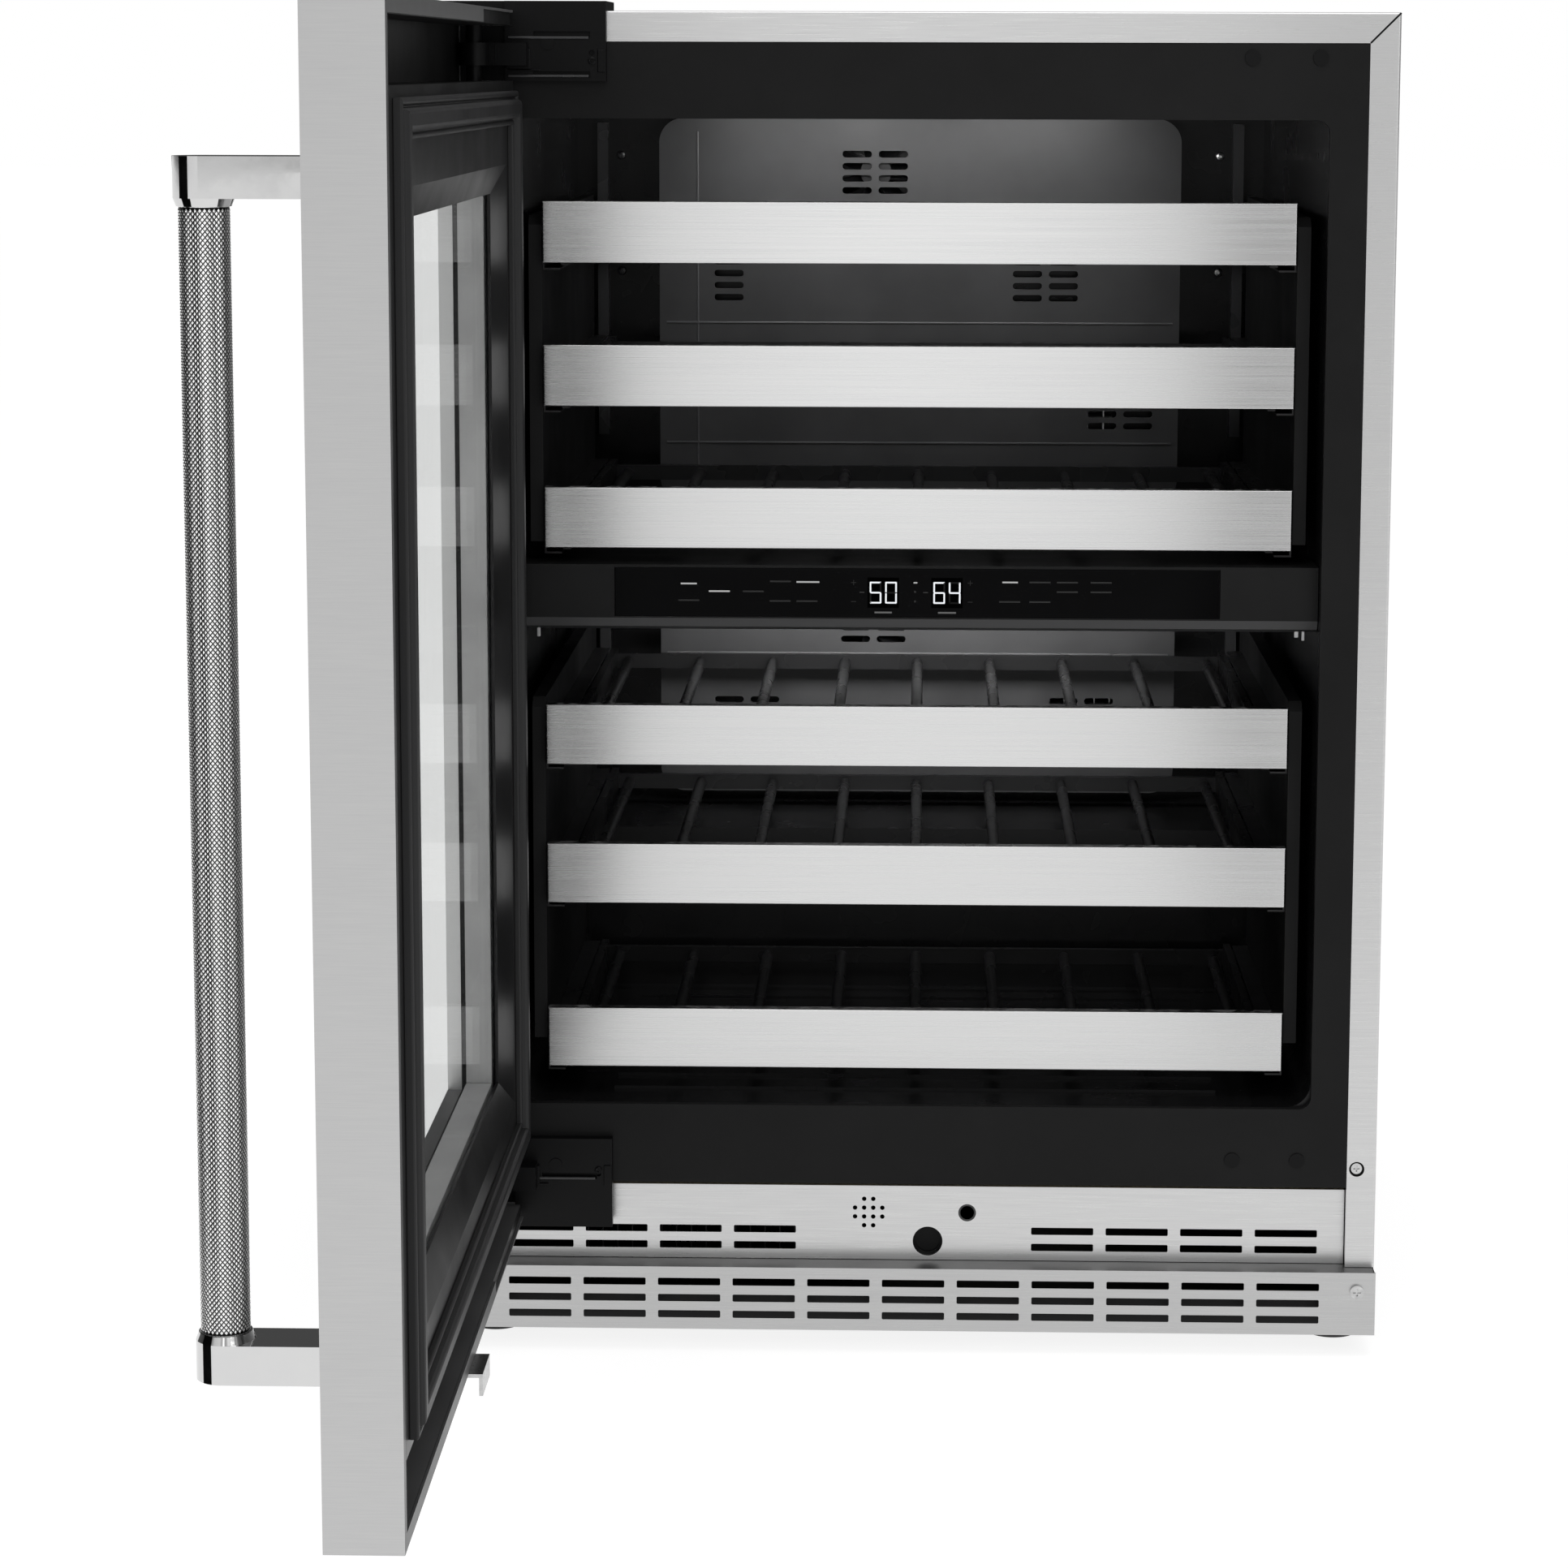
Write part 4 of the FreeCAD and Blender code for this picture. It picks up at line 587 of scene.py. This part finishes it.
def wall_details():
    """Pressed seams on the rear duct covers, lighter as painted highlights, screws beside them, the left
    ones dark as painted shade, and clips under the control bar.
    """
    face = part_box("duct_cover_upper")[0].y
    proud, back, reach, seam = face - 1.0 * MM, face + SUNK, 0.190, 1.4 * MM
    # the seams are lighter than the covers: painted highlights along the pressings
    seams = [((-reach, proud, z), (reach, back, z + seam)) for z in (0.6470, 0.5566, 0.4150, 0.3960, 0.2980)]
    seams.append(((-0.1668, proud, 0.5300), (-0.1656, back, 0.7900)))
    bevelled(boxes("duct_seams", seams, seam_painted_highlight, "cabinet"), 0.4 * MM)

    wall, screw_x, screw_z = 0.4895, 0.2262, (0.7717, 0.6843)
    screw = [(0.0034, -0.0006), (0.0034, 0.0006), (0.0026, 0.0018), (0.0012, 0.0022), (0.0010, 0.0012)]
    places = [(side * screw_x, z) for side in (1, -1) for z in screw_z]
    # the left screws take a dark material in place of zinc: painted shade
    for i, (x, z) in enumerate(places):
        lathe(f"wall_screw_{i + 1}", (x, wall, z), (0, -1, 0), screw, zinc if x > 0 else hinge_rib,
              "cabinet", 24)

    clip_front, clip_back, clip_top = 0.0200, 0.0210, 0.4765
    clips = [((left, clip_front, foot), (right, clip_back, clip_top)) for left, right, foot in (
        (-0.2472, -0.2450, 0.4705), (0.2446, 0.2474, 0.4725), (0.2494, 0.2514, 0.4705))]
    bevelled(boxes("bar_clips", clips, galvanised, "cabinet"), 0.3 * MM)


def front_details():
    """The mitre line where the trims meet and the bush in the sensor hole of the upper grille."""
    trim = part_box("trim_right")
    face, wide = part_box("trim_top")[0].y, trim[1].x - trim[0].x
    inset, half, proud, deep = 0.3 * MM, 0.42 * MM, 0.12 * MM, 0.6 * MM
    corner = Vector((trim[1].x - inset, face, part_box("trim_top")[1].z - inset))
    edge = [corner + Vector((o - s * wide, d, -o - s * wide))
            for s in (0, 0.98) for d in (-proud, deep) for o in (-half, half)]
    piece("mitre_line", edge, BOX_FACES, hinge_black, "cabinet")
    bush = [(0.0058, 0.0), (0.0058, 0.004), (0.0036, 0.004), (0.0036, 0.0006), (0.0046, 0.0)]
    lathe("sensor_bush", (0.0354, 0.0082, 0.0894), (0, 1, 0), bush, hinge_rib, "cabinet", 40)


hinge_details()
wall_details()
front_details()


# ---------------------------------------------------------------- studio
def plane(name, size, location, rotation, mat):
    """A square sheet of the set, which isn't part of the object."""
    mesh = bpy.data.meshes.new(name)
    s = size / 2
    mesh.from_pydata([(-s, -s, 0), (s, -s, 0), (s, s, 0), (-s, s, 0)], [], [(0, 1, 2, 3)])
    mesh.materials.append(mat)
    obj = bpy.data.objects.new(name, mesh)
    obj.location = location
    obj.rotation_euler = rotation
    bpy.context.scene.collection.objects.link(obj)
    return obj


def white_floor():
    mat, n, l, shader = principled("floor_white", (0.30, 0.30, 0.30), 0.9, Specular_IOR_Level=0.0)
    give_light(shader, 0.86)
    plane("floor", 60, (0, 0, -0.5 * MM), (0, 0, 0), mat)


def surroundings():
    """Light from all round: bright in front and above, with dark bands at the sides and behind."""
    world = bpy.data.worlds.new("studio")
    bpy.context.scene.world = world
    world.use_nodes = True
    n, l = world.node_tree.nodes, world.node_tree.links
    coords = n.new("ShaderNodeTexCoord")
    parts = n.new("ShaderNodeSeparateXYZ")
    l.new(coords.outputs["Generated"], parts.inputs["Vector"])

    def maths(operation, a, b):
        made = n.new("ShaderNodeMath")
        made.operation = operation
        for socket, value in zip(made.inputs, (a, b)):
            if isinstance(value, (int, float)):
                socket.default_value = value
            else:
                l.new(value, socket)
        return made.outputs[0]

    def mixed(factor, first, second):
        """From the colour first to the grey second."""
        made = n.new("ShaderNodeMix")
        made.data_type = "RGBA"
        l.new(factor, made.inputs["Factor"])
        l.new(first, made.inputs[6])
        made.inputs[7].default_value = (second, second, second, 1)
        return made.outputs[2]

    # brightness by the angle from straight in front, in degrees, to the right where it is above 0
    azimuth = maths("ARCTAN2", parts.outputs["X"], maths("MULTIPLY", parts.outputs["Y"], -1.0))
    turn = maths("ADD", maths("DIVIDE", azimuth, 2 * math.pi), 0.5)
    stops = [(-180, 0.08), (-112, 0.10), (-84, 0.04), (-54, 0.05), (-38, 0.8), (-16, 1.0), (-6, 0.50),
             (-1.5, 2.1), (1.5, 2.1), (5, 0.50), (9, 0.45), (18, 1.3), (42, 1.0), (60, 0.10),
             (112, 0.06), (180, 0.08)]
    ring = ramp(n, l, turn, [((angle + 180) / 360, (v, v, v)) for angle, v in stops])
    # from about 20 to 40 degrees of height it turns into an even grey
    high = n.new("ShaderNodeMapRange")
    high.inputs["From Min"].default_value = 0.35
    high.inputs["From Max"].default_value = 0.65
    l.new(parts.outputs["Z"], high.inputs["Value"])
    light = mixed(high.outputs["Result"], ring, 0.55)

    # the camera sees plain white where nothing stands in between
    seen = n.new("ShaderNodeLightPath")
    back = n["Background"]
    l.new(mixed(seen.outputs["Is Camera Ray"], light, 1), back.inputs["Color"])
    back.inputs["Strength"].default_value = 1.0


def board(name, location, turn, size, strength):
    """A board that only gloss sees, for the bands in the polished and brushed parts."""
    mat, n, l, shader = principled(name, (0.004,) * 3, 1.0, Specular_IOR_Level=0.0)
    give_light(shader, strength)
    made = plane(name, 1, location, (math.pi / 2, 0, math.radians(turn)), mat)
    made.scale = (*size, 1)
    for kind in ("camera", "diffuse", "shadow", "transmission"):
        setattr(made, "visible_" + kind, False)


def soft_light(name, location, target, width, height, power):
    light = bpy.data.lights.new(name, "AREA")
    light.shape = "RECTANGLE"
    light.size, light.size_y = width, height
    light.energy = power
    obj = bpy.data.objects.new(name, light)
    obj.location = location
    obj.rotation_euler = (Vector(target) - Vector(location)).to_track_quat("-Z", "Y").to_euler()
    bpy.context.scene.collection.objects.link(obj)


def camera():
    """A long lens in front of the cooler, at the height of its top and looking slightly down."""
    cam = bpy.data.cameras.new("camera")
    cam.sensor_width = 36
    cam.lens = 91.087
    cam.shift_x, cam.shift_y = -0.03, -0.10
    cam.dof.use_dof = False
    cam.clip_end = 200
    obj = bpy.data.objects.new("camera", cam)
    yaw, pitch, roll = (math.radians(a) for a in (1.322, 8.057, 0.142))
    aim = Matrix.Rotation(yaw, 3, "Z") @ Matrix.Rotation(math.pi / 2 - pitch, 3, "X")
    obj.rotation_euler = (aim @ Matrix.Rotation(roll, 3, "Z")).to_euler()
    obj.location = (0.0032, -2.5324, 0.8390)
    bpy.context.scene.collection.objects.link(obj)
    bpy.context.scene.camera = obj


bpy.context.scene.view_settings.view_transform = "Standard"
white_floor()
surroundings()
board("flag_left", (-0.629, -0.6975, 0.55), -69, (0.22, 1.05), 0.0)
board("flag_right", (0.325, -1.20, 0.60), 0, (0.11, 1.20), 0.30)
soft_light("overhead", (0, -0.6, 3.2), (0, 0, 0), 2.6, 2.6, 32)
soft_light("key", (1.6, -2.8, 2.2), (0, 0, 0.4), 1.2, 1.2, 12)
soft_light("cavity_top", (0, 0.30, 0.80), (0, 0.47, 0.6), 0.30, 0.05, 0.9)
soft_light("cavity_low", (0, 0.30, 0.470), (0, 0.47, 0.3), 0.30, 0.05, 0.9)
camera()
